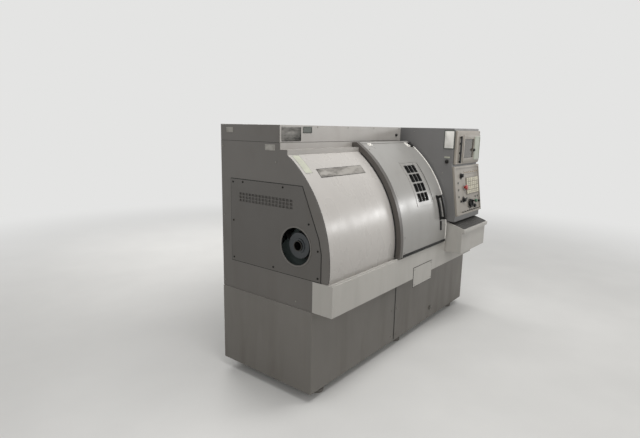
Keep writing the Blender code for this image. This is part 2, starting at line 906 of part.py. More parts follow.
def make_turret(slide_top):
    """The turret's drum housing, the twelve-sided disc and two tools."""
    left = slide_left
    right = slide_left + slide_length
    base = slide_top + GAP
    half = turret_body_radius
    housing = add_box("turret_housing", (left, turret_s - half, base), (right, turret_s + half, half),
                      "casting_paint", tilted, headstock_edge)
    fuse(housing, add_rod("turret_motor", right - headstock_edge, right + servo_size / 2,
                          half - headstock_edge, "casting_paint", tilted, (0, turret_s, 0)))
    station = 2 * math.pi / turret_sides
    disc_left = left - GAP - turret_disc_length
    disc_right = left - GAP
    disc = add_turned("turret_disc", [(disc_left, 0), (disc_left, turret_disc_radius - chuck_edge),
                                      (disc_left + chuck_edge, turret_disc_radius),
                                      (disc_right - chuck_edge, turret_disc_radius),
                                      (disc_right, turret_disc_radius - chuck_edge), (disc_right, 0)],
                      "bright_steel", tilted, (0, turret_s, 0), (station / 2, 0, 0), turret_sides)
    pocket = turret_pocket_width / 2
    floor = turret_disc_radius - turret_pocket_depth
    for i in range(turret_sides):
        turn = (station * i, 0, 0)
        slot = box_mesh("slot", (disc_left - OVERRUN, -pocket, floor),
                        (disc_right - turret_pocket_depth, pocket, turret_disc_radius + OVERRUN),
                        (0, 0, 0))
        cut(disc, add_object(f"turret_slot_{i}", slot, "dark_steel", tilted, (0, turret_s, 0), turn))
    make_turning_tool(disc_left, floor)
    make_boring_bar(disc_left)


def make_turning_tool(disc_left, floor):
    """A turning tool clamped in one rim pocket, its tip pointing at the spindle axis."""
    half = tool_width / 2
    low = floor + GAP
    shank = [(disc_left + GAP, low), (disc_left + tool_length, low),
             (disc_left + tool_length, low + tool_height), (disc_left + tool_height, low + tool_reach),
             (disc_left + GAP, low + tool_reach)]
    mesh = outline_mesh("turning_tool", [shank], 2 * half)
    mesh.transform(Matrix.Rotation(math.pi / 2, 4, "X"))
    add_object("turning_tool", mesh, "dark_steel", tilted, (0, turret_s, 0), (math.pi / 2, 0, 0))


def make_boring_bar(disc_left):
    """A boring bar in its round socket on the face of the disc."""
    seat = disc_left - GAP
    around = Matrix.Rotation(bar_station, 3, "X")
    station = Vector((0, turret_s, 0)) + around @ Vector((0, bar_circle, 0))
    profile = [(seat - bar_length, 0), (seat - bar_length, bar_radius), (seat - bar_radius, bar_radius),
               (seat - bar_radius, bar_seat_radius), (seat, bar_seat_radius), (seat, 0)]
    add_turned("boring_bar", profile, "bright_steel", tilted, station, segments=knob_segments)


def make_way_covers():
    """Three telescopic plates over the ways, left of the saddle."""
    low = -bed_drop + way_height + cover_rise
    wall = headstock_right + GAP + sheet + GAP
    places = {"way_cover_fixed": wall, "way_cover_middle": (wall + saddle_left - cover_length) / 2,
              "way_cover_moving": saddle_left - cover_length - GAP}
    for i, (name, left) in enumerate(places.items()):
        foot = low + (cover_thickness + RUNNING_GAP) * i
        add_box(name, (left, cover_low_s, foot),
                (left + cover_length, cover_high_s, foot + cover_thickness), "bright_steel", tilted)


def end_outline():
    """The left end cover's outline: straight back and top, curved front."""
    bottom = shell_bottom + GAP
    step = base_front + 2 * GAP
    curved = arc_between(curve_radius, bottom, ledge_bottom)
    return [(enclosure_depth, base_top + GAP), (enclosure_depth, header_seam - GAP),
            (header_front, header_seam - GAP), (header_front, header_lip), (ledge_front, header_lip),
            (ledge_front, ledge_bottom)] + curved[::-1] + [(step, bottom), (step, base_top + GAP)]


def belt_cover_outline(inset):
    """The belt cover's outline, drawn in by an inset for the opening behind it."""
    return [(belt_cover_top_back_y - inset, belt_cover_bottom_z + inset),
            (belt_cover_top_back_y - inset, belt_cover_top_z - inset),
            (belt_cover_top_front_y + inset, belt_cover_top_z - inset),
            (belt_cover_slant_y + inset, belt_cover_slant_z),
            (belt_cover_front_y + inset, belt_cover_front_z),
            (belt_cover_front_y + inset, belt_cover_bottom_z + inset)]


def make_left_end():
    """The end cover with its belt opening, and the belt cover with vent and spindle hole."""
    add_section("left_end_cover", [end_outline(), belt_cover_outline(belt_cover_lap)],
                panel_left, panel_left + sheet, "end_paint", frame)
    loops = [belt_cover_outline(0), circle((spindle_y, spindle_z), spindle_hole_radius)]
    pitch_y = (vent_back_y - vent_front_y) / vent_columns
    pitch_z = (vent_high_z - vent_low_z) / vent_rows
    for row in range(vent_rows):
        for column in range(vent_columns):
            y = vent_front_y + pitch_y * column
            z = vent_low_z + pitch_z * row
            loops.append(rectangle((y, z), (y + pitch_y - vent_bar, z + pitch_z - vent_bar)))
    add_section("belt_cover", loops, panel_left - GAP - sheet, panel_left - GAP, "end_paint", frame)


def make_front_shell():
    """The curved front plate left of the door, and the header bar over it."""
    inner = panel_left + sheet + GAP
    low = shell_bottom + GAP
    high = ledge_bottom - GAP
    loop = arc_between(curve_radius, low, high)
    loop += arc_between(curve_radius - shell_thickness, low, high)[::-1]
    add_section("fixed_front_shell", [loop], inner, shell_right, "light_paint", frame, True)
    header = [(ledge_front, ledge_bottom), (ledge_front, header_lip), (header_front, header_lip),
              (header_front, header_seam - GAP), (header_back, header_seam - GAP),
              (header_back, ledge_bottom)]
    add_section("door_header", [header], inner, header_right, "light_paint", frame)


def make_lid(name, low, high, thickness, finish, open_side):
    """A folded sheet box that is open on one side; open_side is that side's direction."""
    middle = (Vector(low) + Vector(high)) / 2
    mesh = box_mesh(name, low, high, middle)
    shape = bmesh.new()
    shape.from_mesh(mesh)
    shape.normal_update()
    gone = [face for face in shape.faces if face.normal.dot(Vector(open_side)) > FACING]
    bmesh.ops.delete(shape, geom=gone, context="FACES")
    shape.to_mesh(mesh)
    shape.free()
    lid = add_object(name, mesh, finish, frame, middle)
    solid = lid.modifiers.new("sheet", "SOLIDIFY")
    solid.thickness = thickness
    solid.offset = -1
    solid.use_even_offset = True
    return lid


def make_covers():
    """The top cap, the rear cover, the chamber wall and the right end cover."""
    make_lid("top_cap", (panel_left, header_front, header_seam),
             (header_right, enclosure_depth, machine_height), sheet, "light_paint", (0, 0, -1))
    add_box("rear_cover", (panel_left + sheet + GAP, enclosure_depth - sheet, base_top + GAP),
            (header_right, enclosure_depth, header_seam - GAP), "end_paint", frame)
    radius = curve_radius - wall_inset
    outline = arc_between(radius, shell_bottom + sheet, wall_top)
    top = slant(bed_high_s, -bed_drop + GAP)
    back = enclosure_depth - 2 * sheet
    slope_foot = (top[0] - (top[1] - shell_bottom - sheet), shell_bottom + sheet)
    outline = [slope_foot] + outline + [(back, wall_top), (back, top[1]), top]
    add_section("chamber_wall", [outline, circle((spindle_y, spindle_z), nose_hole_radius)],
                headstock_right + GAP, headstock_right + GAP + sheet, "light_paint", frame)
    make_lid("right_end_cover", (bed_right + 2 * GAP, pedestal_back + GAP, base_top + GAP),
             (end_cover_right, enclosure_depth, end_cover_top), sheet, "base_paint", (-1, 0, 0))


def door_section(inner):
    """The door's section, cut back behind so that it clears the header."""
    outer_high = angle_at(door_outer, door_top)
    outer_low = angle_at(door_outer, door_bottom)
    outer = arc(door_outer, outer_low, outer_high)
    ledge = ledge_front - door_clear
    ledge_low = ledge_bottom - door_clear
    ledge_high = header_lip + door_clear
    plate = header_front - door_clear
    lower = [p for p in arc_between(inner, door_bottom, ledge_low) if p[0] < ledge]
    line = lower + [(min(ledge, on_curve(inner, angle_at(inner, ledge_low))[0]), ledge_low)]
    reach = curve_height + math.sqrt(inner ** 2 - (curve_radius - ledge) ** 2)
    line.append((ledge, max(ledge_low, min(reach, ledge_high))))
    line.append((ledge, ledge_high))
    rise = curve_height + math.sqrt(inner ** 2 - (curve_radius - plate) ** 2)
    line.append((min(plate, on_curve(inner, angle_at(inner, ledge_high))[0]), ledge_high))
    line.append((plate, max(ledge_high, min(rise, door_top))))
    line.append((plate, door_top))
    tidy = [line[0]]
    for point in line[1:]:
        if (Vector(point) - Vector(tidy[-1])).length > GAP:
            tidy.append(point)
    return outer + tidy[::-1]


def make_door():
    """The sliding door: dark band, curved skin with twelve slots, pane, handle, rollers."""
    seam = door_left + band_width
    add_section("door_edge_band", [door_section(band_inner)], door_left, seam - GAP, "band_paint",
                frame, True)
    door = add_section("door_shell", [door_section(door_flange_inner)], seam, door_right, "door_paint",
                       frame, True)
    low = angle_at(door_outer, door_bottom) - slot_height_angle
    high = angle_at(door_outer, door_top) + slot_height_angle
    pocket = arc(door_outer - door_skin, low, high) + arc(door_pocket_inner, low, high)[::-1]
    cut(door, add_section("door_pocket_cut", [pocket], seam - OVERRUN, door_right - door_flange,
                          "dark_steel", frame))
    cut(door, make_slot_cutter())
    make_pane()
    make_handle()
    make_rollers()


def slot_angles():
    """The middle angle of each row of window slots, from the top down."""
    return [slot_top_angle - slot_height_angle / 2 - slot_pitch_angle * row for row in range(slot_rows)]


def make_slot_cutter():
    """Twelve blocks that punch the window slots square to the curved skin."""
    mesh = bpy.data.meshes.new("slot_blocks")
    shape = bmesh.new()
    height = door_outer * slot_height_angle
    depth = door_skin + OVERRUN
    for angle in slot_angles():
        y, z = on_curve(door_outer - door_skin / 2, angle)
        for column in range(slot_columns):
            x = slot_left + slot_pitch * column + slot_width / 2
            place = Matrix.Translation((x, y, z)) @ Matrix.Rotation(-angle, 4, "X")
            size = Matrix.Diagonal((slot_width, depth, height, 1))
            bmesh.ops.create_cube(shape, size=1, matrix=place @ size)
    shape.to_mesh(mesh)
    shape.free()
    blocks = add_object("slot_cut", mesh, "dark_steel", frame)
    return round_edges(blocks, slot_corner, 3)


def make_pane():
    """The clear pane behind the slots."""
    rows = slot_angles()
    reach = slot_height_angle / 2 + pane_margin_angle
    skin = door_outer - door_skin
    facet = (angle_at(door_outer, door_top) - angle_at(door_outer, door_bottom)
             + 2 * slot_height_angle) / arc_segments
    outer = skin * math.cos(facet / 2) - GAP
    loop = arc(outer, rows[-1] - reach, rows[0] + reach)
    loop += arc(outer - pane_thickness, rows[-1] - reach, rows[0] + reach)[::-1]
    right = slot_left + slot_pitch * (slot_columns - 1) + slot_width + pane_margin
    add_section("door_window", [loop], slot_left - pane_margin, right, "window", frame, True)


def make_handle():
    """The black handle: a closed loop whose foot follows the door's curve."""
    foot = door_outer + GAP
    grip = foot + handle_depth
    steps = arc_segments // 3
    outer = arc(foot, handle_low_angle, handle_high_angle, steps)
    outer += arc(grip, handle_low_angle, handle_high_angle, steps)[::-1]
    low = handle_low_angle + handle_end_angle
    high = handle_high_angle - handle_end_angle
    inner = arc(foot + handle_bar, low, high, steps) + arc(grip - handle_bar, low, high, steps)[::-1]
    add_section("door_handle", [outer, inner], handle_x, handle_x + handle_width, "black_plastic", frame)


def make_rollers():
    """The two rollers that carry the door on the apron's rail."""
    axis_z = shell_bottom + rail_height + GAP + roller_radius
    centre = (rail_front + rail_back) / 2
    half = (rail_back - rail_front) / 2
    drop = curve_height - axis_z + axle_radius
    skin = curve_radius - math.sqrt((door_outer - door_skin) ** 2 - drop ** 2)
    reach = centre - skin - RUNNING_GAP
    profile = [(-reach, 0), (-reach, axle_radius), (-half, axle_radius), (-half, roller_radius),
               (half, roller_radius), (half, 0)]
    for name, x in (("door_roller_left", roller_left_x), ("door_roller_right", roller_right_x)):
        add_turned(name, profile, "dark_steel", frame, (x, centre, axis_z), (0, 0, math.pi / 2),
                   knob_segments)


def make_apron():
    """The folded apron below the door with the door's rail on it, and the square plate."""
    end = base_front - GAP
    section = [(end, apron_bottom), (apron_front, apron_bottom), (apron_front, shell_bottom),
               (rail_front, shell_bottom), (rail_front, shell_bottom + rail_height),
               (rail_back, shell_bottom + rail_height), (rail_back, shell_bottom),
               (apron_ledge, shell_bottom), (apron_ledge, shell_bottom - sheet),
               (apron_front + sheet, shell_bottom - sheet), (apron_front + sheet, apron_bottom + sheet),
               (end, apron_bottom + sheet)]
    apron = add_section("apron", [section], 0, apron_right, "apron_paint", frame)
    cut(apron, add_box("rail_end_cut", (rail_right, apron_front - OVERRUN, shell_bottom),
                       (apron_right + OVERRUN, apron_ledge, shell_bottom + OVERRUN), "dark_steel", frame))
    fuse(apron, add_box("apron_end", (0, apron_front, apron_bottom), (sheet, end, shell_bottom),
                        "apron_paint", frame))
    add_box("apron_plate", (plate_left, apron_front - GAP - sheet, plate_bottom),
            (plate_right, apron_front - GAP, plate_top), "light_paint", frame)


def console_right():
    """The right side of the console."""
    return console_left + console_width


def make_housing():
    """The dark console housing: its side follows the sloping panel and the slanted bed."""
    slope = Vector((panel_low_y - panel_top_y, panel_low_z - panel_top_z)).normalized()
    back = Vector((-slope.y, slope.x)) * panel_thickness
    top = (panel_top_y + back.x, panel_top_z + back.y)
    low = (panel_low_y + back.x, panel_low_z + back.y)
    floor = console_floor + GAP
    side = [(console_face_y, machine_height), (console_face_y, display_bottom - panel_rim / 2), top, low,
            (low[0], floor), (housing_shelf_y, floor), (housing_back_y, housing_back_z),
            (enclosure_depth, housing_back_z), (enclosure_depth, machine_height)]
    housing = add_section("control_housing", [side], console_left, console_right(), "dark_paint", frame)
    round_edges(housing, housing_edge, 1)
    fuse(housing, add_box("housing_step", (header_right + 2 * GAP, housing_step_front, housing_back_z),
                          (console_left + housing_step_lap, enclosure_depth, machine_height),
                          "dark_paint", frame))


def make_pedestal():
    """The light pedestal under the console, with the sloping tray on top of it."""
    slope = (console_floor - tray_front_z) / (tray_back_y + console_reach)
    under = console_floor - tray_thickness
    nose = under - slope * (tray_back_y - pedestal_front)
    low = shell_bottom + GAP
    face = apron_front - GAP
    outline = [(pedestal_front, pedestal_bottom), (pedestal_front, nose),
               (-console_reach, tray_front_z - tray_thickness), (-console_reach, tray_front_z),
               (tray_back_y, console_floor), (pedestal_back, console_floor), (pedestal_back, low),
               (face, low), (face, pedestal_bottom)]
    add_section("console_pedestal", [outline], pedestal_left, console_right(), "light_paint", frame)


def make_display():
    """The display unit's frame and its screen."""
    left = console_left + display_left_inset
    right = console_right() - display_left_inset
    back = console_face_y - GAP
    front = back - panel_thickness
    unit = add_box("display_unit", (left, front, display_bottom), (right, back, display_top),
                   "light_paint", frame, panel_edge)
    screen_left = left + screen_left_inset
    low = (screen_left - panel_edge, front - OVERRUN, screen_low - panel_edge)
    high = (screen_left + screen_width + panel_edge, front + display_recess, screen_high + panel_edge)
    cut(unit, add_box("screen_cut", low, high, "dark_steel", frame))
    seat = front + display_recess - GAP
    add_box("display_screen", (screen_left, seat - screen_thickness, screen_low),
            (screen_left + screen_width, seat, screen_high), "screen", frame)


def panel_height():
    """The sloping panel's height along its face."""
    return math.hypot(panel_top_y - panel_low_y, panel_top_z - panel_low_z)


def make_panel_frame():
    """An empty at the panel's lower left corner: X right, Y up the face, Z outward."""
    lean = math.atan2(panel_top_z - panel_low_z, panel_top_y - panel_low_y)
    return add_empty("panel_frame", (console_left, panel_low_y, panel_low_z), lean, frame)


def panel_place(share):
    """A place on the panel's recessed face from shares of its width and height."""
    return (console_width * share[0], panel_height() * share[1], -panel_recess)


def make_operator_panel():
    """The framed operator panel with its controls."""
    panel = add_box("operator_panel", (0, 0, -panel_thickness + GAP), (console_width, panel_height(), 0),
                    "light_paint", face_frame, panel_edge)
    cut(panel, add_box("panel_recess_cut", (panel_rim, panel_rim, -panel_recess),
                       (console_width - panel_rim, panel_height() - panel_rim, OVERRUN),
                       "dark_steel", face_frame))
    for share, radius in ((estop_share, estop_stem), (button_share, button_stem)):
        cut(panel, add_rod("stem_hole_cut", -estop_seat - 2 * GAP - estop_travel, OVERRUN, radius + GAP,
                           "dark_steel", face_frame, panel_place(share), UP, knob_segments))
    make_keypad()
    make_estop()
    make_knob("feed_knob", feed_knob_share, knob_radius, knob_height)
    make_knob("mode_knob", mode_knob_share, knob_radius, knob_height)
    make_wheel()
    rest = button_travel + GAP
    profile = [(-estop_seat, 0), (-estop_seat, button_stem), (rest, button_stem), (rest, button_radius),
               (button_height, button_radius), (button_height, 0)]
    add_turned("cycle_button", profile, "green", face_frame, panel_place(button_share), UP, knob_segments)


def make_keypad():
    """The key field: a thin plate with raised keys in rows."""
    low = panel_place((keypad_left_share, keypad_low_share))
    high = panel_place((keypad_right_share, keypad_high_share))
    foot = low[2] + GAP
    top = foot + keypad_thickness
    pad = add_box("keypad", (low[0], low[1], foot), (high[0], high[1], top), "cream", face_frame)
    pitch_x = (high[0] - low[0]) / key_columns
    pitch_y = (high[1] - low[1]) / key_rows
    mesh = bpy.data.meshes.new("keys")
    shape = bmesh.new()
    size = Vector((pitch_x - key_gap, pitch_y - key_gap, key_height + key_sink))
    for column in range(key_columns):
        for row in range(key_rows):
            middle = Vector((low[0] + pitch_x * (column + 1 / 2), low[1] + pitch_y * (row + 1 / 2),
                             top + key_height - size.z / 2))
            key = Matrix.Translation(middle) @ Matrix.Diagonal((*size, 1))
            bmesh.ops.create_cube(shape, size=1, matrix=key)
    shape.to_mesh(mesh)
    shape.free()
    fuse(pad, add_object("key_blocks", mesh, "cream", face_frame))


def make_estop():
    """The mushroom-headed emergency stop; its stem slides in a hole of the panel."""
    profile = [(-estop_seat, 0), (-estop_seat, estop_stem), (estop_under, estop_stem),
               (estop_under, estop_head), (estop_height - estop_dome, estop_head),
               (estop_height, estop_stem), (estop_height, 0)]
    add_turned("emergency_stop", profile, "red", face_frame, panel_place(estop_share), UP, knob_segments)


def make_knob(name, share, radius, height):
    """A round control knob with a wide skirt and a tapered grip."""
    skirt = height * knob_skirt_share
    profile = [(GAP, 0), (GAP, radius), (skirt, radius), (skirt, radius * knob_neck_share),
               (height, radius * knob_top_share), (height, 0)]
    add_turned(name, profile, "black_plastic", face_frame, panel_place(share), UP, knob_segments)


def make_wheel():
    """The pulse handwheel with its crank peg."""
    place = Vector(panel_place(wheel_share))
    rim = wheel_height / 2
    hub = wheel_radius * wheel_hub_share
    profile = [(GAP, 0), (GAP, hub), (rim / 2, hub), (rim / 2, wheel_radius),
               (wheel_height, wheel_radius), (wheel_height, wheel_radius * wheel_rim_share),
               (rim, wheel_radius * wheel_dish_share), (rim, 0)]
    wheel = add_turned("handwheel", profile, "black_plastic", face_frame, place, UP, knob_segments)
    peg = Vector((0, wheel_radius * crank_place_share, 0))
    fuse(wheel, add_rod("crank_peg", rim / 2 + GAP, wheel_height + crank_height, crank_radius,
                        "black_plastic", face_frame, place + peg, UP, knob_segments))


def make_side_pieces():
    """The notice holder and the selector knob on the console's left side."""
    face = console_left - GAP
    add_box("notice_holder", (face - sheet, notice_front, notice_low), (face, notice_back, notice_high),
            "paper", frame)
    skirt = side_knob_height * knob_skirt_share
    cap = [(-side_knob_height, 0), (-side_knob_height, side_knob_radius * knob_top_share),
           (-skirt, side_knob_radius), (-GAP, side_knob_radius), (-GAP, 0)]
    add_turned("side_selector", cap, "black_plastic", frame, (console_left, side_knob_y, side_knob_z),
               segments=knob_segments)


def make_cabinet():
    """The electrical cabinet behind the machine, its door and main switch."""
    front = enclosure_depth + GAP
    door_back = enclosure_depth + cabinet_depth - cabinet_handle_reach
    mouth = door_back - cabinet_door_thickness
    make_lid("electrical_cabinet", (cabinet_left, front, cabinet_bottom),
             (cabinet_right, mouth - GAP, cabinet_top), cabinet_sheet, "end_paint", (0, 1, 0))
    hinge = (cabinet_left, door_back, (cabinet_bottom + cabinet_top) / 2)
    door = add_box("cabinet_door", (cabinet_left, mouth, cabinet_bottom),
                   (cabinet_right, door_back, cabinet_top), "end_paint", frame, origin=hinge)
    right = cabinet_right - cabinet_handle_inset
    root = door_back - cabinet_door_thickness / 2
    high = cabinet_handle_z + cabinet_handle_length
    fuse(door, add_box("cabinet_handle", (right - cabinet_handle_width, root, cabinet_handle_z),
                       (right, door_back + cabinet_handle_reach, high),
                       "black_plastic", frame, cabinet_sheet))
    profile = [(GAP, 0), (GAP, switch_radius), (switch_height / 2, switch_radius),
               (switch_height, switch_radius / 2), (switch_height, 0)]
    add_turned("main_switch", profile, "black_plastic", frame, (cabinet_right, switch_y, switch_z),
               segments=knob_segments)


clear_scene()
parts = new_collection("cnc_turning_lathe")
cutters = new_collection("cutters")
materials = make_materials()
middle_y = (enclosure_depth + cabinet_depth - console_reach) / 2
frame = add_empty("machine_frame", (-machine_length / 2, -middle_y, 0))
tilted = add_empty("slant_frame", (0, spindle_y, spindle_z), slant_angle, frame)
face_frame = make_panel_frame()

make_base()
make_bed()
make_headstock()
make_spindle()
make_drive()
make_chuck()
slide_floor = make_saddle()
turret_floor = make_cross_slide(slide_floor)
make_turret(turret_floor)
make_way_covers()
make_left_end()
make_front_shell()
make_covers()
make_door()
make_apron()
make_housing()
make_pedestal()
make_display()
make_operator_panel()
make_side_pieces()
make_cabinet()
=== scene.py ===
"""Looks of the CNC turning lathe: its finishes, its small fittings and the studio around it.

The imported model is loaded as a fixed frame. Each operator dresses one group of pieces.
Places are given in machine coordinates: X from the left end of the base, Y back from
the foremost line of the curved front, Z over the floor.
"""

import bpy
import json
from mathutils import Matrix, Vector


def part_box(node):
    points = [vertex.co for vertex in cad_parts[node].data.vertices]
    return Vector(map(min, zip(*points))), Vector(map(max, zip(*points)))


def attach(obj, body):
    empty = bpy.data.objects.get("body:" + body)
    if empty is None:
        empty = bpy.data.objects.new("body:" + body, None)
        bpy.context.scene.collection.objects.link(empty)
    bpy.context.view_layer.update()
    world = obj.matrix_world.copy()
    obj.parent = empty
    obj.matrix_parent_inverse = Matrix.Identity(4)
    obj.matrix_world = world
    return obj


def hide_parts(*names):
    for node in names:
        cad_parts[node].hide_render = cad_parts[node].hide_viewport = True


bl_info = {
    "name": "CNC turning lathe looks",
    "version": (1, 0, 0),
    "blender": (4, 5, 0),
    "location": "View3D > Sidebar > Lathe",
    "description": "Finishes, fittings and studio for the turning lathe",
    "category": "Object",
}

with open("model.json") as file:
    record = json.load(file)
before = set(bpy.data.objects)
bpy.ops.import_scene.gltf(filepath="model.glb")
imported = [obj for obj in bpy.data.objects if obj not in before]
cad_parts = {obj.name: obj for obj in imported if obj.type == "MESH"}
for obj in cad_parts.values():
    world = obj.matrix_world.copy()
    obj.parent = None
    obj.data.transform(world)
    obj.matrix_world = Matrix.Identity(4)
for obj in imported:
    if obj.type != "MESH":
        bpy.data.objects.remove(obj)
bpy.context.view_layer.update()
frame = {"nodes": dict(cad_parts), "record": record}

import json
import math

import bmesh
import bpy
from bpy.props import FloatProperty, FloatVectorProperty, IntProperty, PointerProperty
from mathutils import Matrix, Vector

SLOT_OF = {row["node"]: row["material_slot"] for row in frame["record"]["subparts"]}
BODY_OF = {node: body for body, nodes in frame["record"]["behaviour"]["bodies"].items()
           for node in nodes}

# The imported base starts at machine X 0, and its front stands 0.119 behind the curved front
BASE_FRONT = 0.119
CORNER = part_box("base_frame")[0]
ORIGIN = Vector((CORNER.x, CORNER.y - BASE_FRONT, 0))

# The curved front and its sliding door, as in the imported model
CURVE_RADIUS = 0.77707
CURVE_HEIGHT = 0.890
DOOR_RADIUS = CURVE_RADIUS + 0.044
DOOR_RIGHT = 1.496

# The console's sloping panel: its lower left corner, its size and its lean
PANEL_CORNER = (1.520, -0.120, 1.010)
PANEL_WIDTH = 0.520
PANEL_HEIGHT = 0.3968
PANEL_LEAN = math.atan2(0.393, 0.055)
PANEL_RECESS = 0.006

# Planes that carry fittings
END_X = 0.006
BELT_COVER_X = 0.0027
HEADER_Y = 0.389
PLATE_Y = -0.0333
DISPLAY_Y = -0.0653
BEZEL_THICKNESS = 0.0045
BEZEL_Y = DISPLAY_Y - BEZEL_THICKNESS
HOUSING_LEFT = 1.520
HOUSING_RIGHT = 2.040
HOUSING_BACK = 0.920
NOTICE_X = 1.5167
PEDESTAL_X = 1.5303
CABINET_LEFT = 0.750
CABINET_RIGHT = 2.150
CABINET_BACK = 1.236
MOUNTING_Y = 0.936
RIGHT_END_X = 2.280
CHUCK_FACE = 0.7096
TURRET_FACE = 1.1147

# Y and Z of the axes of the spindle and the turret
SPINDLE = (0.256, 0.985)
TURRET = (0.4292, 1.1582)

# Finish and slot of what many fittings are made of
RUBBER = ("seal_rubber", "rubber")
BLACK = ("black_moulding", "black_plastic")
PALE = ("pale_plastic", "bright_steel")
BRIGHT = ("badge_aluminium", "bright_steel")
ZINC = ("zinc_screw_steel", "dark_steel")

# The studio: its background, the stretch of floor that fades into it, and the camera,
# whose lens is in millimetres
BACKGROUND = "#E4E4E3"
FADE_NEAR, FADE_FAR = 2.4, 7.5
SKY_STRENGTH = 0.36
CAMERA_PLACE = (-3.244, -2.1045, 1.693)
CAMERA_HEADING, CAMERA_DIP, CAMERA_ROLL = [math.radians(a) for a in (38.31, 10.97, 1.09)]
CAMERA_LENS = 26.77


def at(x, y, z):
    """A point in the row frame from machine coordinates."""
    return ORIGIN + Vector((x, y, z))


def linear(code):
    """An sRGB hex colour as linear values."""
    shares = [int(code[i:i + 2], 16) / 255 for i in (1, 3, 5)]
    return [c / 12.92 if c <= 0.04045 else ((c + 0.055) / 1.055) ** 2.4 for c in shares]


def length(label, text, default):
    """A size in metres that a user may change."""
    return FloatProperty(name=label, description=text, default=default, min=0, unit="LENGTH")


def colour(label, text, code):
    """A colour that a user may change."""
    return FloatVectorProperty(name=label, description=text, default=linear(code), size=3,
                               min=0, max=1, subtype="COLOR")


class LatheSizes(bpy.types.PropertyGroup):
    """Sizes of the small fittings."""

    screw_radius: length("Screw radius", "Radius of the cover screws' heads", 0.0062)
    screw_height: length("Screw height", "Height of the cover screws' heads", 0.0026)
    frame_rise: length("Frame rise", "How far the window frame stands off the door", 0.0022)
    badge_thickness: length("Badge thickness", "Thickness of the blank metal badge", 0.0015)
    label_thickness: length("Label thickness", "Thickness of the blank labels", 0.0006)
    mat_thickness: length("Mat thickness", "Thickness of the tray's rubber mat", 0.003)
    louvre_width: length("Louvre width", "Width of a pressed louvre", 0.220)
    louvre_pitch: length("Louvre pitch", "Distance from louvre to louvre", 0.020)
    louvre_count: IntProperty(name="Louvres", description="Louvres in each vent",
                              default=8, min=2, max=20)


class LatheColours(bpy.types.PropertyGroup):
    """Colours of the finishes."""

    light: colour("Light enamel", "Fixed curved plate", "#AEAAA5")
    # The header enamel is the light enamel darkened: painted shade for faces that look forward and
    # get less of the light from above
    header: colour("Header enamel", "Cap, and the bar over the door", "#999590")
    door: colour("Door enamel", "Sliding door", "#908E8A")
    # The pedestal wears the apron enamel, darker than the light enamel, as painted shade under the
    # console
    apron: colour("Apron enamel", "Apron below the door, and the console's pedestal", "#ADAAA4")
    console: colour("Console enamel", "Console housing", "#6C6B6A")
    end: colour("End enamel", "Left end, rear and cabinet; darker on the belt cover", "#64615D")
    base: colour("Base enamel", "Base frame and right end", "#716E69")
    band: colour("Band enamel", "Dark edge of the door", "#524E4A")
    casting: colour("Casting enamel", "Bed, headstock and slides", "#6F7A78")


# Materials


def add_node(tree, kind, inputs=None, output=0, **fields):
    """Add a shader node, set its fields, set or link its inputs, and give one of its outputs."""
    item = tree.nodes.new("ShaderNode" + kind)
    for key, value in fields.items():
        setattr(item, key, value)
    for key, value in (inputs or {}).items():
        if isinstance(value, bpy.types.NodeSocket):
            tree.links.new(value, item.inputs[key])
        else:
            item.inputs[key].default_value = value
    return item.outputs[output]


def new_material(name, settings=None):
    """A material's tree and shader with constants set, and its Object coordinates."""
    material = bpy.data.materials.new(name)
    material.use_nodes = True
    tree = material.node_tree
    shader = tree.nodes["Principled BSDF"]
    for key, value in (settings or {}).items():
        shader.inputs[key].default_value = value
    return tree, shader, add_node(tree, "TexCoord", output=3)


def finish_shader(tree, shader, base, roughness, bump):
    """Link a material's colour, roughness and bump to its shader."""
    for key, socket in (("Base Color", base), ("Roughness", roughness), ("Normal", bump)):
        tree.links.new(socket, shader.inputs[key])


def tone(tint, share=1.0):
    """A colour darkened or lightened by a share, with its alpha."""
    return (*[min(1.0, c * share) for c in tint], 1)


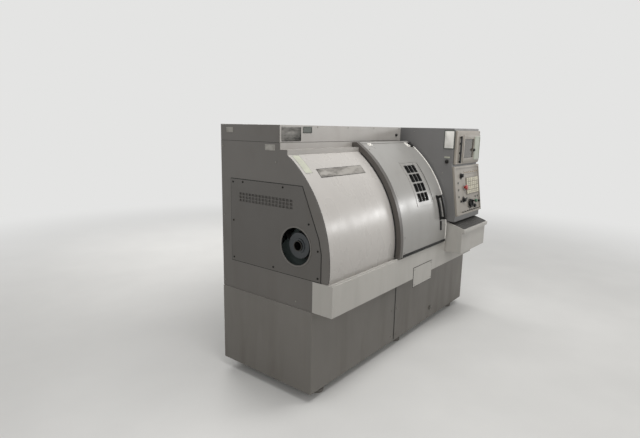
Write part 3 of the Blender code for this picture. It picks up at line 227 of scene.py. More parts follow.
def sprayed_enamel(name, tint, rough, foul_and_shade):
    """Two-part enamel sprayed on folded sheet steel, worn by years beside coolant.

    The eye sees satin gloss broken by orange peel, slow waves in the sheet, wide clouds of
    dust, a film of oil in long runs, and scuffs. The runs darken the paint towards the
    floor, which is partly painted shade for lower parts that get less light. Real peel
    is 3 mm wide, and is drawn 14 mm wide so that it shows.
    """
    tree, shader, place = new_material(name)
    oil = linear("#4A4237")
    # Clouds 0.4 m wide change the tint by a few percent
    cloud = add_node(tree, "TexNoise", {"Vector": place, "Scale": 2.6, "Detail": 3.0})
    cloud = add_node(tree, "MapRange", {"Value": cloud, "From Min": 0.25, "From Max": 0.75})
    tinted = add_node(tree, "Mix", {0: cloud, 6: tone(tint, 0.94), 7: tone(tint, 1.04)}, 2,
                      data_type="RGBA")
    # Wiped hand marks 0.1 m wide
    smear_place = add_node(tree, "Mapping", {"Vector": place, "Scale": (1, 1, 0.45)})
    smear = add_node(tree, "TexNoise", {"Vector": smear_place, "Scale": 9.0, "Detail": 3.0,
                                        "Roughness": 0.5})
    dust = add_node(tree, "MapRange", {"Value": smear, "From Min": 0.50, "From Max": 0.80,
                                       "To Max": foul_and_shade * 0.5})
    # Drips 0.1 m apart and 0.7 m long, strongest near the floor; their darkening near the floor is
    # partly painted shade
    drip_place = add_node(tree, "Mapping", {"Vector": place, "Scale": (9, 9, 1.3)})
    drips = add_node(tree, "TexNoise", {"Vector": drip_place, "Scale": 1.0, "Detail": 4.0,
                                        "Roughness": 0.55, "Distortion": 0.2})
    drips = add_node(tree, "MapRange", {"Value": drips, "From Min": 0.46, "From Max": 0.74,
                                        "To Min": 0.45})
    height = add_node(tree, "SeparateXYZ", {"Vector": place}, 2)
    low = add_node(tree, "MapRange", {"Value": height, "From Min": 0.15, "From Max": 1.15,
                                      "To Min": 1.0, "To Max": 0.10})
    # The runs' darkening grows towards the floor: oil, and partly painted shade
    dirt_and_shade = add_node(tree, "Math", {0: drips, 1: low}, operation="MULTIPLY")
    dirt_and_shade = add_node(tree, "Math", {0: dirt_and_shade, 1: foul_and_shade}, operation="MULTIPLY")
    fouling_and_shade = add_node(tree, "Math", {0: dirt_and_shade, 1: dust}, operation="MAXIMUM")
    fouled_and_shaded = add_node(tree, "Mix", {0: fouling_and_shade, 6: tinted, 7: tone(oil)}, 2, data_type="RGBA")
    # Scuffs 2 mm high and 25 mm long in patches
    scuff_place = add_node(tree, "Mapping", {"Vector": place, "Scale": (38, 38, 420),
                                             "Rotation": (0.5, 0.3, 0.9)})
    scuff = add_node(tree, "TexNoise", {"Vector": scuff_place, "Scale": 1.0, "Detail": 3.0})
    scuff = add_node(tree, "MapRange", {"Value": scuff, "From Min": 0.69, "From Max": 0.76,
                                        "To Max": foul_and_shade * 0.4})
    patch = add_node(tree, "TexNoise", {"Vector": place, "Scale": 5.5, "Detail": 3.0})
    patch = add_node(tree, "MapRange", {"Value": patch, "From Min": 0.56, "From Max": 0.66})
    worn = add_node(tree, "Math", {0: scuff, 1: patch}, operation="MULTIPLY")
    painted = add_node(tree, "Mix", {0: worn, 6: fouled_and_shaded, 7: tone(tint, 1.35)}, 2,
                       data_type="RGBA")
    gloss = add_node(tree, "MapRange", {"Value": smear, "From Min": 0.30, "From Max": 0.75,
                                        "To Min": rough - 0.04, "To Max": rough + 0.08})
    dull = add_node(tree, "Math", {0: dirt_and_shade, 1: 0.4}, operation="MULTIPLY")
    dull = add_node(tree, "Math", {0: gloss, 1: dull}, operation="ADD")
    peel = add_node(tree, "TexNoise", {"Vector": place, "Scale": 70.0, "Detail": 1.0})
    peeled = add_node(tree, "Bump", {"Height": peel, "Strength": 0.25, "Distance": 0.00016})
    wave = add_node(tree, "TexNoise", {"Vector": place, "Scale": 6.0, "Detail": 2.0})
    waved = add_node(tree, "Bump", {"Height": wave, "Strength": 0.30, "Distance": 0.0012,
                                    "Normal": peeled})
    finish_shader(tree, shader, painted, dull, waved)


def brushed_cast_enamel(name, tint):
    """Enamel brushed over sand-cast iron: 3 mm sand grain, dull on top, dark where oil stands."""
    tree, shader, place = new_material(name)
    pool = add_node(tree, "TexNoise", {"Vector": place, "Scale": 7.0, "Detail": 5.0})
    pooled = add_node(tree, "MapRange", {"Value": pool, "From Min": 0.35, "From Max": 0.70})
    tinted = add_node(tree, "Mix", {0: pooled, 6: tone(tint, 0.70), 7: tone(tint, 1.08)}, 2,
                      data_type="RGBA")
    gloss = add_node(tree, "MapRange", {"Value": pool, "From Min": 0.3, "From Max": 0.7,
                                        "To Min": 0.35, "To Max": 0.62})
    grain = add_node(tree, "TexNoise", {"Vector": place, "Scale": 330.0, "Detail": 4.0,
                                        "Roughness": 0.65})
    bump = add_node(tree, "Bump", {"Height": grain, "Strength": 0.5, "Distance": 0.0008})
    finish_shader(tree, shader, tinted, gloss, bump)


def machined_steel(name, code, rough, stretch, pitch=700.0, film=0.25):
    """Ground or turned steel: fine cutter lines along one way, with a film of oil in patches.

    Real lines are 0.1 mm apart, and are drawn 1 to 2 mm apart so that they show.
    """
    tree, shader, place = new_material(name, {"Metallic": 1.0})
    tint = linear(code)
    line_place = add_node(tree, "Mapping", {"Vector": place, "Scale": stretch})
    lines = add_node(tree, "TexNoise", {"Vector": line_place, "Scale": pitch, "Detail": 2.0,
                                        "Roughness": 0.4})
    shade = add_node(tree, "MapRange", {"Value": lines, "From Min": 0.3, "From Max": 0.7})
    toned = add_node(tree, "Mix", {0: shade, 6: tone(tint, 0.86), 7: tone(tint, 1.08)}, 2,
                     data_type="RGBA")
    pool = add_node(tree, "TexNoise", {"Vector": place, "Scale": 16.0, "Detail": 5.0})
    oily = add_node(tree, "MapRange", {"Value": pool, "From Min": 0.48, "From Max": 0.72,
                                       "To Max": film})
    coated = add_node(tree, "Mix", {0: oily, 6: toned, 7: tone(linear("#5A4A38"))}, 2,
                      data_type="RGBA")
    gloss = add_node(tree, "MapRange", {"Value": lines, "From Min": 0.25, "From Max": 0.75,
                                        "To Min": rough - 0.06, "To Max": rough + 0.14})
    bump = add_node(tree, "Bump", {"Height": lines, "Strength": 0.5, "Distance": 0.00012})
    finish_shader(tree, shader, coated, gloss, bump)


def rolled_thread_steel(name, code, turn, pitch):
    """Rolled ball screw: rings of one pitch, bright on the lands and dark in the grooves."""
    tree, shader, place = new_material(name, {"Metallic": 1.0})
    tint = linear(code)
    turned = add_node(tree, "Mapping", {"Vector": place, "Rotation": turn})
    rings = add_node(tree, "TexWave", {"Vector": turned, "Scale": 0.3142 / pitch}, 1,
                     bands_direction="X", wave_profile="SIN")
    groove = add_node(tree, "MapRange", {"Value": rings, "From Min": 0.15, "From Max": 0.65})
    toned = add_node(tree, "Mix", {0: groove, 6: tone(tint, 0.30), 7: tone(tint)}, 2,
                     data_type="RGBA")
    smear = add_node(tree, "TexNoise", {"Vector": place, "Scale": 40.0, "Detail": 3.0})
    gloss = add_node(tree, "MapRange", {"Value": smear, "From Min": 0.3, "From Max": 0.7,
                                        "To Min": 0.16, "To Max": 0.34})
    bump = add_node(tree, "Bump", {"Height": rings, "Strength": 0.8, "Distance": 0.003})
    finish_shader(tree, shader, toned, gloss, bump)


def moulded_plastic(name, code, rough, dust, grain=0.00015, level=0.5):
    """Injection-moulded ABS: 1 mm spark-eroded grain, finger grease as uneven gloss, pale dust."""
    tree, shader, place = new_material(name, {"Specular IOR Level": level})
    tint = linear(code)
    smear = add_node(tree, "TexNoise", {"Vector": place, "Scale": 34.0, "Detail": 5.0,
                                        "Roughness": 0.6})
    dusty = add_node(tree, "MapRange", {"Value": smear, "From Min": 0.52, "From Max": 0.78,
                                        "To Max": dust})
    toned = add_node(tree, "Mix", {0: dusty, 6: tone(tint), 7: tone(linear("#98948C"))}, 2,
                     data_type="RGBA")
    gloss = add_node(tree, "MapRange", {"Value": smear, "From Min": 0.3, "From Max": 0.7,
                                        "To Min": rough - 0.1, "To Max": rough + 0.12})
    speck = add_node(tree, "TexNoise", {"Vector": place, "Scale": 1000.0, "Detail": 3.0})
    bump = add_node(tree, "Bump", {"Height": speck, "Strength": 0.5, "Distance": grain})
    finish_shader(tree, shader, toned, gloss, bump)


def smeared_glass(name, code, smear_code, rough, smeared, transmission=0.0):
    """Window sheet or screen glass: smooth and dark, with dried coolant spots and wiped arcs."""
    tree, shader, place = new_material(name, {"Transmission Weight": transmission, "IOR": 1.49,
                                              "Coat Weight": 0.4, "Coat Roughness": 0.05})
    wipe_place = add_node(tree, "Mapping", {"Vector": place, "Scale": (1, 1, 2.6)})
    smear = add_node(tree, "TexNoise", {"Vector": wipe_place, "Scale": 22.0, "Detail": 6.0,
                                        "Roughness": 0.65})
    smear = add_node(tree, "MapRange", {"Value": smear, "From Min": 0.46, "From Max": 0.80,
                                        "To Max": smeared})
    spots = add_node(tree, "TexNoise", {"Vector": place, "Scale": 150.0, "Detail": 2.0})
    spots = add_node(tree, "MapRange", {"Value": spots, "From Min": 0.66, "From Max": 0.74,
                                        "To Max": smeared * 0.6})
    film = add_node(tree, "Math", {0: smear, 1: spots}, operation="MAXIMUM")
    toned = add_node(tree, "Mix", {0: film, 6: tone(linear(code)), 7: tone(linear(smear_code))},
                     2, data_type="RGBA")
    dull = add_node(tree, "Math", {0: film, 1: 0.5}, operation="MULTIPLY")
    dull = add_node(tree, "Math", {0: dull, 1: rough}, operation="ADD")
    wave = add_node(tree, "TexNoise", {"Vector": place, "Scale": 12.0, "Detail": 2.0})
    bump = add_node(tree, "Bump", {"Height": wave, "Strength": 0.2, "Distance": 0.0008})
    finish_shader(tree, shader, toned, dull, bump)


def key_plastic(name, code, gap_code, left, low, pitch_x, pitch_z):
    """Short-stroke keys of warm moulded plastic, greyed by fingers, each a little different.

    A soft grey bar stands where a key's legend would be, and the lines between the keys are
    darker.
    """
    tree, shader, place = new_material(name)
    tint = linear(code)
    # Along each way: which key a point is on, and how far it is from that key's middle
    numbers, offsets = [], []
    for axis, start, pitch in ((0, left, pitch_x), (2, low, pitch_z)):
        keys = add_node(tree, "SeparateXYZ", {"Vector": place}, axis)
        keys = add_node(tree, "Math", {0: keys, 1: start}, operation="SUBTRACT")
        keys = add_node(tree, "Math", {0: keys, 1: pitch}, operation="DIVIDE")
        numbers.append(add_node(tree, "Math", {0: keys}, operation="FLOOR"))
        share = add_node(tree, "Math", {0: keys}, operation="FRACT")
        share = add_node(tree, "Math", {0: share, 1: 0.5}, operation="SUBTRACT")
        offsets.append(add_node(tree, "Math", {0: share}, operation="ABSOLUTE"))
    in_x, in_z = offsets
    key = add_node(tree, "CombineXYZ", {"X": numbers[0], "Y": numbers[1]})
    each = add_node(tree, "TexWhiteNoise", {"Vector": key}, 0)
    toned = add_node(tree, "Mix", {0: each, 6: tone(tint, 0.80), 7: tone(tint, 1.08)}, 2,
                     data_type="RGBA")
    bar_x = add_node(tree, "MapRange", {"Value": in_x, "From Min": 0.20, "From Max": 0.23,
                                        "To Min": 0.62, "To Max": 0.0})
    bar_z = add_node(tree, "MapRange", {"Value": in_z, "From Min": 0.05, "From Max": 0.09,
                                        "To Min": 1.0, "To Max": 0.0})
    bar = add_node(tree, "Math", {0: bar_x, 1: bar_z}, operation="MULTIPLY")
    marked = add_node(tree, "Mix", {0: bar, 6: toned, 7: tone(linear("#50504F"))}, 2,
                      data_type="RGBA")
    edge = add_node(tree, "Math", {0: in_x, 1: in_z}, operation="MAXIMUM")
    edge = add_node(tree, "MapRange", {"Value": edge, "From Min": 0.40, "From Max": 0.46})
    keyed = add_node(tree, "Mix", {0: edge, 6: marked, 7: tone(linear(gap_code))}, 2,
                     data_type="RGBA")
    smear = add_node(tree, "TexNoise", {"Vector": place, "Scale": 60.0, "Detail": 4.0})
    gloss = add_node(tree, "MapRange", {"Value": smear, "From Min": 0.3, "From Max": 0.7,
                                        "To Min": 0.34, "To Max": 0.58})
    bump = add_node(tree, "Bump", {"Height": smear, "Strength": 0.3, "Distance": 0.0004})
    finish_shader(tree, shader, keyed, gloss, bump)


def sleeved_paper(name, code, rough=0.55):
    """Paper or film label under a clear sleeve: faint yellow clouds, creases and a soft shine."""
    tree, shader, place = new_material(name, {"Coat Weight": 0.4, "Coat Roughness": 0.15})
    tint = linear(code)
    cloud = add_node(tree, "TexNoise", {"Vector": place, "Scale": 18.0, "Detail": 4.0})
    shade = add_node(tree, "MapRange", {"Value": cloud, "From Min": 0.35, "From Max": 0.70})
    toned = add_node(tree, "Mix", {0: shade, 6: tone(tint, 0.86), 7: tone(tint, 1.04)}, 2,
                     data_type="RGBA")
    gloss = add_node(tree, "MapRange", {"Value": cloud, "From Min": 0.3, "From Max": 0.7,
                                        "To Min": rough - 0.1, "To Max": rough + 0.1})
    crease = add_node(tree, "TexNoise", {"Vector": place, "Scale": 25.0, "Detail": 3.0})
    bump = add_node(tree, "Bump", {"Height": crease, "Strength": 0.3, "Distance": 0.0015})
    finish_shader(tree, shader, toned, gloss, bump)


def rubbed_aluminium(name, code, dark_code, low, high):
    """Anodised aluminium plate rubbed by cloths: fine lines along X and dark worn patches."""
    tree, shader, place = new_material(name, {"Metallic": 0.45})
    tint = linear(code)
    line_place = add_node(tree, "Mapping", {"Vector": place, "Scale": (0.03, 1, 1)})
    lines = add_node(tree, "TexNoise", {"Vector": line_place, "Scale": 700.0, "Detail": 2.0})
    shade = add_node(tree, "MapRange", {"Value": lines, "From Min": 0.3, "From Max": 0.7})
    toned = add_node(tree, "Mix", {0: shade, 6: tone(tint, 0.85), 7: tone(tint, 1.08)}, 2,
                     data_type="RGBA")
    patch_place = add_node(tree, "Mapping", {"Vector": place, "Scale": (0.35, 1, 1)})
    patch = add_node(tree, "TexNoise", {"Vector": patch_place, "Scale": 14.0, "Detail": 6.0,
                                        "Roughness": 0.6})
    patch = add_node(tree, "MapRange", {"Value": patch, "From Min": low, "From Max": high})
    rubbed = add_node(tree, "Mix", {0: patch, 6: tone(linear(dark_code)), 7: toned}, 2,
                      data_type="RGBA")
    gloss = add_node(tree, "MapRange", {"Value": patch, "To Min": 0.78, "To Max": 0.58})
    bump = add_node(tree, "Bump", {"Height": patch, "Strength": 0.4, "Distance": 0.0002})
    finish_shader(tree, shader, rubbed, gloss, bump)


def studded_rubber(name, code):
    """Oil-proof rubber mat: 6 mm round studs in rows, dusty on top and darker between them."""
    tree, shader, place = new_material(name)
    cells = add_node(tree, "TexVoronoi", {"Vector": place, "Scale": 150.0, "Randomness": 0.15})
    stud = add_node(tree, "MapRange", {"Value": cells, "From Min": 0.25, "From Max": 0.45,
                                       "To Min": 1.0, "To Max": 0.0})
    dust = add_node(tree, "TexNoise", {"Vector": place, "Scale": 30.0, "Detail": 5.0})
    dust = add_node(tree, "MapRange", {"Value": dust, "From Min": 0.42, "From Max": 0.70,
                                       "To Max": 0.55})
    grey = add_node(tree, "Mix", {0: dust, 6: tone(linear(code)), 7: tone(linear("#94908A"))},
                    2, data_type="RGBA")
    toned = add_node(tree, "Mix", {0: stud, 6: tone(linear(code), 0.6), 7: grey}, 2,
                     data_type="RGBA")
    dull = add_node(tree, "MapRange", {"Value": dust, "To Min": 0.55, "To Max": 0.85})
    bump = add_node(tree, "Bump", {"Height": stud, "Strength": 0.7, "Distance": 0.0012})
    finish_shader(tree, shader, toned, dull, bump)


def dull_rubber(name, code):
    """Black sealing or belt rubber: no gloss, greyed by dust, with a fine rib along it."""
    tree, shader, place = new_material(name)
    tint = linear(code)
    worn = add_node(tree, "TexNoise", {"Vector": place, "Scale": 40.0, "Detail": 4.0})
    worn = add_node(tree, "MapRange", {"Value": worn, "From Min": 0.45, "From Max": 0.75})
    toned = add_node(tree, "Mix", {0: worn, 6: tone(tint), 7: tone(tint, 2.4)}, 2,
                     data_type="RGBA")
    dull = add_node(tree, "MapRange", {"Value": worn, "To Min": 0.85, "To Max": 0.6})
    rib_place = add_node(tree, "Mapping", {"Vector": place, "Scale": (1, 0.1, 0.1)})
    ribs = add_node(tree, "TexNoise", {"Vector": rib_place, "Scale": 700.0, "Detail": 2.0})
    bump = add_node(tree, "Bump", {"Height": ribs, "Strength": 0.5, "Distance": 0.0006})
    finish_shader(tree, shader, toned, dull, bump)


def poured_floor(name, code, far_code, near, far):
    """Pale poured floor: faint trowel clouds, which fade into the plain background far out."""
    tree, shader, place = new_material(name, {"Specular IOR Level": 0.25})
    tint = linear(code)
    cloud = add_node(tree, "TexNoise", {"Vector": place, "Scale": 1.6, "Detail": 5.0})
    shade = add_node(tree, "MapRange", {"Value": cloud, "From Min": 0.35, "From Max": 0.65})
    toned = add_node(tree, "Mix", {0: shade, 6: tone(tint, 0.97), 7: tone(tint, 1.02)}, 2,
                     data_type="RGBA")
    dull = add_node(tree, "MapRange", {"Value": cloud, "To Min": 0.6, "To Max": 0.8})
    grit = add_node(tree, "TexNoise", {"Vector": place, "Scale": 260.0, "Detail": 2.0})
    bump = add_node(tree, "Bump", {"Height": grit, "Strength": 0.15, "Distance": 0.0006})
    finish_shader(tree, shader, toned, dull, bump)
    reach = add_node(tree, "VectorMath", {0: place}, 1, operation="LENGTH")
    fade = add_node(tree, "MapRange", {"Value": reach, "From Min": near, "From Max": far},
                    interpolation_type="SMOOTHSTEP")
    glow = add_node(tree, "Emission", {"Color": tone(linear(far_code)), "Strength": 1.0})
    both = add_node(tree, "MixShader", {0: fade, 1: shader.outputs[0], 2: glow})
    tree.links.new(both, tree.nodes["Material Output"].inputs["Surface"])


# Shaping


def only(*pieces):
    """Select these pieces and nothing else."""
    if bpy.context.mode != "OBJECT":
        bpy.ops.object.mode_set(mode="OBJECT")
    bpy.ops.object.select_all(action="DESELECT")
    for piece in pieces:
        piece.select_set(True)
    if pieces:
        bpy.context.view_layer.objects.active = pieces[0]


def settle(piece, place=None):
    """Put a piece's place, turn and scale into its mesh."""
    if place is not None:
        piece.matrix_world = place
    only(piece)
    bpy.ops.object.transform_apply(location=True, rotation=True, scale=True)
    return piece


def box_blank(name, low, high, local=False):
    """A box between two corners, in machine coordinates or round the origin."""
    low, high = (Vector(low), Vector(high)) if local else (at(*low), at(*high))
    only()
    bpy.ops.mesh.primitive_cube_add(size=1, location=(low + high) / 2)
    piece = bpy.context.object
    piece.name = name
    piece.scale = high - low
    return settle(piece)


def round_blank(name, radius, height, sides):
    """A round blank that stands on the origin, its axis along Z."""
    only()
    bpy.ops.mesh.primitive_cylinder_add(vertices=sides, radius=radius, depth=height,
                                        location=(0, 0, height / 2))
    piece = bpy.context.object
    piece.name = name
    return settle(piece)


def pick(piece, test):
    """Enter edit mode with only those faces selected that pass a test of middle and normal."""
    only(piece)
    bpy.ops.object.mode_set(mode="EDIT")
    bpy.ops.mesh.select_mode(type="FACE")
    bpy.ops.mesh.select_all(action="DESELECT")
    shape = bmesh.from_edit_mesh(piece.data)
    for face in shape.faces:
        if test(face.calc_center_median(), face.normal):
            face.select_set(True)
    bmesh.update_edit_mesh(piece.data)


def press(piece, test, inset, depth):
    """Inset the picked faces, then push them in or, with a plus depth, out."""
    pick(piece, test)
    if inset:
        bpy.ops.mesh.inset(thickness=inset, depth=0)
    if depth:
        bpy.ops.mesh.inset(thickness=0, depth=depth)
    bpy.ops.object.mode_set(mode="OBJECT")
    return piece


def upwards(middle, normal):
    """Passes the faces that look along Z."""
    return normal.z > 0.9


def frontwards(middle, normal):
    """Passes the faces that look against Y, which is forward on the machine."""
    return normal.y < -0.9


def leftwards(middle, normal):
    """Passes the faces that look against X, which is left on the machine."""
    return normal.x < -0.9


def apply_modifier(piece, kind, **settings):
    """Add a modifier with its settings and apply it."""
    only(piece)
    modifier = piece.modifiers.new(kind.lower(), kind)
    for key, value in settings.items():
        setattr(modifier, key, value)
    bpy.ops.object.modifier_apply(modifier=modifier.name)
    return piece


def round_off(piece, width, segments=2, angle=35):
    """Round the sharp edges of a piece."""
    return apply_modifier(piece, "BEVEL", width=width, segments=segments, limit_method="ANGLE",
                          angle_limit=math.radians(angle), use_clamp_overlap=True)


def carve(piece, cutter):
    """Cut one piece out of another; the cutter is used up."""
    apply_modifier(piece, "BOOLEAN", object=cutter, operation="DIFFERENCE", solver="EXACT")
    bpy.data.objects.remove(cutter, do_unlink=True)
    return piece


def join(name, pieces):
    """Several pieces of one kind as one."""
    only(*pieces)
    if len(pieces) > 1:
        bpy.ops.object.join()
    piece = bpy.context.view_layer.objects.active
    piece.name = name
    return piece


def copies_of(name, model, places):
    """Copies of one model, each with its own mesh, at its places; the model is used up."""
    copies = []
    for place in places:
        only(model)
        bpy.ops.object.duplicate(linked=False)
        copies.append(settle(bpy.context.object, place))
    bpy.data.objects.remove(model, do_unlink=True)
    return join(name, copies)


def dress(piece, body, finish, slot, angle=35):
    """Merge a piece's doubled points, and give it its shading, finish and body; the slot is not
    used.
    """
    settle(piece)
    bpy.ops.object.mode_set(mode="EDIT")
    bpy.ops.mesh.select_all(action="SELECT")
    bpy.ops.mesh.remove_doubles(threshold=2e-6)
    bpy.ops.mesh.dissolve_degenerate(threshold=2e-6)
    bpy.ops.object.mode_set(mode="OBJECT")
    bpy.ops.object.shade_smooth_by_angle(angle=math.radians(angle))
    piece.data.materials.clear()
    piece.data.materials.append(bpy.data.materials[finish])
    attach(piece, body)
    return piece


def on_left(x, y, z):
    """A place on a side that looks left: X towards the front, Y up, Z out."""
    turn = Matrix(((0, 0, -1), (-1, 0, 0), (0, 1, 0))).to_4x4()
    return Matrix.Translation(at(x, y, z)) @ turn


def on_right(x, y, z):
    """A place on a side that looks right: X towards the back, Y up, Z out."""
    turn = Matrix(((0, 0, 1), (1, 0, 0), (0, 1, 0))).to_4x4()
    return Matrix.Translation(at(x, y, z)) @ turn


def on_front(x, y, z):
    """A place on a side that looks forward: X right, Y up, Z out."""
    turn = Matrix(((1, 0, 0), (0, 0, -1), (0, 1, 0))).to_4x4()
    return Matrix.Translation(at(x, y, z)) @ turn


def on_back(x, y, z):
    """A place on a side that looks back: X left, Y up, Z out."""
    turn = Matrix(((-1, 0, 0), (0, 0, 1), (0, 1, 0))).to_4x4()
    return Matrix.Translation(at(x, y, z)) @ turn


def on_skin(x, degrees, rise=0.0):
    """A place on the door's curve or over it: X along the machine, Y up the curve, Z out."""
    angle = math.radians(degrees)
    radius = DOOR_RADIUS + rise
    sine, cosine = math.sin(angle), math.cos(angle)
    turn = Matrix(((1, 0, 0), (0, sine, -cosine), (0, cosine, sine))).to_4x4()
    return Matrix.Translation(at(x, CURVE_RADIUS - radius * cosine,
                                 CURVE_HEIGHT + radius * sine)) @ turn


def on_panel(u, v, lift=0.0):
    """A place on the console's sloping panel by shares of its size: X right, Y up, Z out."""
    turn = Matrix.Rotation(PANEL_LEAN, 4, "X")
    across = Vector((PANEL_WIDTH * u, PANEL_HEIGHT * v, lift - PANEL_RECESS))
    return Matrix.Translation(at(*PANEL_CORNER)) @ turn @ Matrix.Translation(across)


def plate(name, width, height, thick, corner, edge):
    """A flat plate with rounded corners round the origin, its back on Z 0."""
    only()
    bpy.ops.mesh.primitive_plane_add(size=1)
    piece = bpy.context.object
    piece.name = name
    piece.scale = (width, height, 1)
    settle(piece)
    bpy.ops.object.mode_set(mode="EDIT")
    bpy.ops.mesh.select_all(action="SELECT")
    bpy.ops.mesh.bevel(offset=corner, segments=4, affect="VERTICES")
    bpy.ops.mesh.select_all(action="SELECT")
    bpy.ops.mesh.extrude_region_move(TRANSFORM_OT_translate={"value": (0, 0, thick)})
    bpy.ops.mesh.select_all(action="SELECT")
    bpy.ops.mesh.normals_make_consistent(inside=False)
    bpy.ops.object.mode_set(mode="OBJECT")
    return round_off(piece, edge, 2, 50)


def curved_strip(name, span, rise, arc, steps=24, radius=DOOR_RADIUS):
    """A strip of the curved front, spun down round the front's axis from its top angle.

    The span holds two X values, the rise two heights over the radius, the arc two angles
    in degrees.
    """
    inner, outer = [radius + height for height in rise]
    top, low_end = [math.radians(degrees) for degrees in arc]
    middle = (inner + outer) / 2
    only()
    bpy.ops.mesh.primitive_plane_add(
        size=1, rotation=(math.pi - top, 0, 0),
        location=at((span[0] + span[1]) / 2, CURVE_RADIUS - middle * math.cos(top),
                    CURVE_HEIGHT + middle * math.sin(top)))
    piece = bpy.context.object
    piece.name = name
    piece.scale = (span[1] - span[0], outer - inner, 1)
    settle(piece)
    bpy.ops.object.mode_set(mode="EDIT")
    bpy.ops.mesh.select_all(action="SELECT")
    bpy.ops.mesh.spin(steps=steps, angle=low_end - top, center=at(0, CURVE_RADIUS, CURVE_HEIGHT),
                      axis=(1, 0, 0))
    bpy.ops.mesh.select_all(action="SELECT")
    bpy.ops.mesh.remove_doubles(threshold=1e-6)
    bpy.ops.mesh.normals_make_consistent(inside=False)
    bpy.ops.object.mode_set(mode="OBJECT")
    return piece


def smooth_copy(node, finish, fold):
    """A copy of a CAD node in the node's place, with its flats merged and its folds rounded."""
    piece = bpy.data.objects.new(node + "_skin", frame["nodes"][node].data.copy())
    bpy.context.scene.collection.objects.link(piece)
    only(piece)
    bpy.ops.object.mode_set(mode="EDIT")
    bpy.ops.mesh.select_all(action="SELECT")
    bpy.ops.mesh.remove_doubles(threshold=1e-5)
    bpy.ops.mesh.dissolve_limited(angle_limit=math.radians(0.3))
    bpy.ops.object.mode_set(mode="OBJECT")
    bpy.ops.mesh.customdata_custom_splitnormals_clear()
    if fold:
        round_off(piece, fold)
    dress(piece, BODY_OF[node], finish, SLOT_OF[node])
    if fold:
        apply_modifier(piece, "WEIGHTED_NORMAL", keep_sharp=True, weight=80)
    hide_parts(node)
    return piece


def shade_round_curve(piece):
    """Shade the faces that follow the curved front by the true curve, not by its facets."""
    mesh = piece.data
    centre = at(0, CURVE_RADIUS, CURVE_HEIGHT)
    normals = [Vector(item.vector) for item in mesh.corner_normals]
    for face in mesh.polygons:
        for corner in face.loop_indices:
            spoke = mesh.vertices[mesh.loops[corner].vertex_index].co - centre
            spoke.x = 0
            spoke.normalize()
            side = face.normal.dot(spoke)
            if abs(side) > 0.9985:
                normals[corner] = spoke if side > 0 else -spoke
    mesh.normals_split_custom_set(normals)


def paint_faces(piece, finish, test):
    """Give the faces that pass a test a second finish."""
    piece.data.materials.append(bpy.data.materials[finish])
    index = len(piece.data.materials) - 1
    for face in piece.data.polygons:
        if test(face.center - ORIGIN, face.normal):
            face.material_index = index


def socket_screw(radius, height):
    """A socket screw's head: a round blank with a sunk socket and a rounded rim."""
    screw = round_blank("screw", radius, height, 18)
    press(screw, upwards, radius * 0.42, 0)
    press(screw, lambda middle, normal: normal.z > 0.9 and middle.xy.length < radius * 0.1,
          radius * 0.05, -height * 0.6)
    return round_off(screw, radius * 0.05, 2, 50)


def screws(name, body, places, share=1.0, finish="zinc_screw_steel"):
    """A group of socket screws on one body."""
    sizes = bpy.context.scene.lathe_sizes
    model = socket_screw(sizes.screw_radius * share, sizes.screw_height * share)
    dress(copies_of(name, model, places), body, finish, "dark_steel", 50)


def ring_blank(name, inner, outer, height, sides):
    """A flat ring that stands on the origin, with rounded rims."""
    ring = round_blank(name, outer, height, sides)
    hole = round_blank(name + "_hole", inner, height * 3, sides)
    settle(hole, Matrix.Translation((0, 0, -height)))
    return round_off(carve(ring, hole), min(height, outer - inner) * 0.25, 2, 50)


def louvre_bank(name, body, lowest, finish, slot):
    """Pressed louvres one over the other, each a hood that leans out and is open below."""
    sizes = bpy.context.scene.lathe_sizes
    width, pitch = sizes.louvre_width, sizes.louvre_pitch
    hood = box_blank("louvre", (-width / 2, 0, -0.0004), (width / 2, pitch * 0.62, 0.0070), True)
    # The hood's upper edge goes back into the sheet
    only(hood)
    bpy.ops.object.mode_set(mode="EDIT")
    bpy.ops.mesh.select_mode(type="EDGE")
    bpy.ops.mesh.select_all(action="DESELECT")
    shape = bmesh.from_edit_mesh(hood.data)
    for edge in shape.edges:
        ends = [vert.co for vert in edge.verts]
        if all(end.z > 0 and end.y > pitch * 0.3 for end in ends):
            edge.select_set(True)
    bmesh.update_edit_mesh(hood.data)
    bpy.ops.transform.translate(value=(0, 0, -0.0066))
    bpy.ops.object.mode_set(mode="OBJECT")
    press(hood, frontwards, 0.0012, -0.008)
    round_off(hood, 0.0006, 2, 40)
    places = [lowest @ Matrix.Translation((0, i * pitch, 0))
              for i in range(sizes.louvre_count)]
    dress(copies_of(name, hood, places), body, finish, slot, 45)


def knob_blank(name, radius, height):
    """A turned knob: a skirt, a waist and a domed top, standing on the origin."""
    knob = round_blank(name, radius, height * 0.35, 32)
    press(knob, upwards, radius * 0.22, 0)
    press(knob, lambda middle, normal: normal.z > 0.9 and middle.xy.length < radius * 0.2,
          0, height * 0.65)
    press(knob, lambda middle, normal: normal.z > 0.9 and middle.z > height * 0.9,
          radius * 0.18, -height * 0.06)
    return round_off(knob, radius * 0.07, 2, 40)


def stepped_blank(name, radius, height, sides, inset, depth, edge, angle=30):
    """A round or six-sided part on the origin, its end stepped in or out."""
    piece = press(round_blank(name, radius, height, sides), upwards, inset, depth)
    return round_off(piece, edge, 2, angle)


def fit_plate(name, body, place, size, inset, depth, look, corner=0.003, edge=0.0003):
    """A flat plate at its place, its face pressed in or out inside a border."""
    piece = press(plate(name, *size, corner, edge), upwards, inset, depth)
    dress(settle(piece, place), body, *look, 40)


def fit_ring(name, body, place, inner, outer, height, look, sides=48):
    """A flat ring at its place."""
    dress(settle(ring_blank(name, inner, outer, height, sides), place), body, *look)


def fit_bar(name, body, low, high, side, inset, depth, edge, look):
    """A straight seal or sheet between two corners, with a border round one side."""
    piece = press(box_blank(name, low, high), side, inset, depth)
    dress(round_off(piece, edge), body, *look)


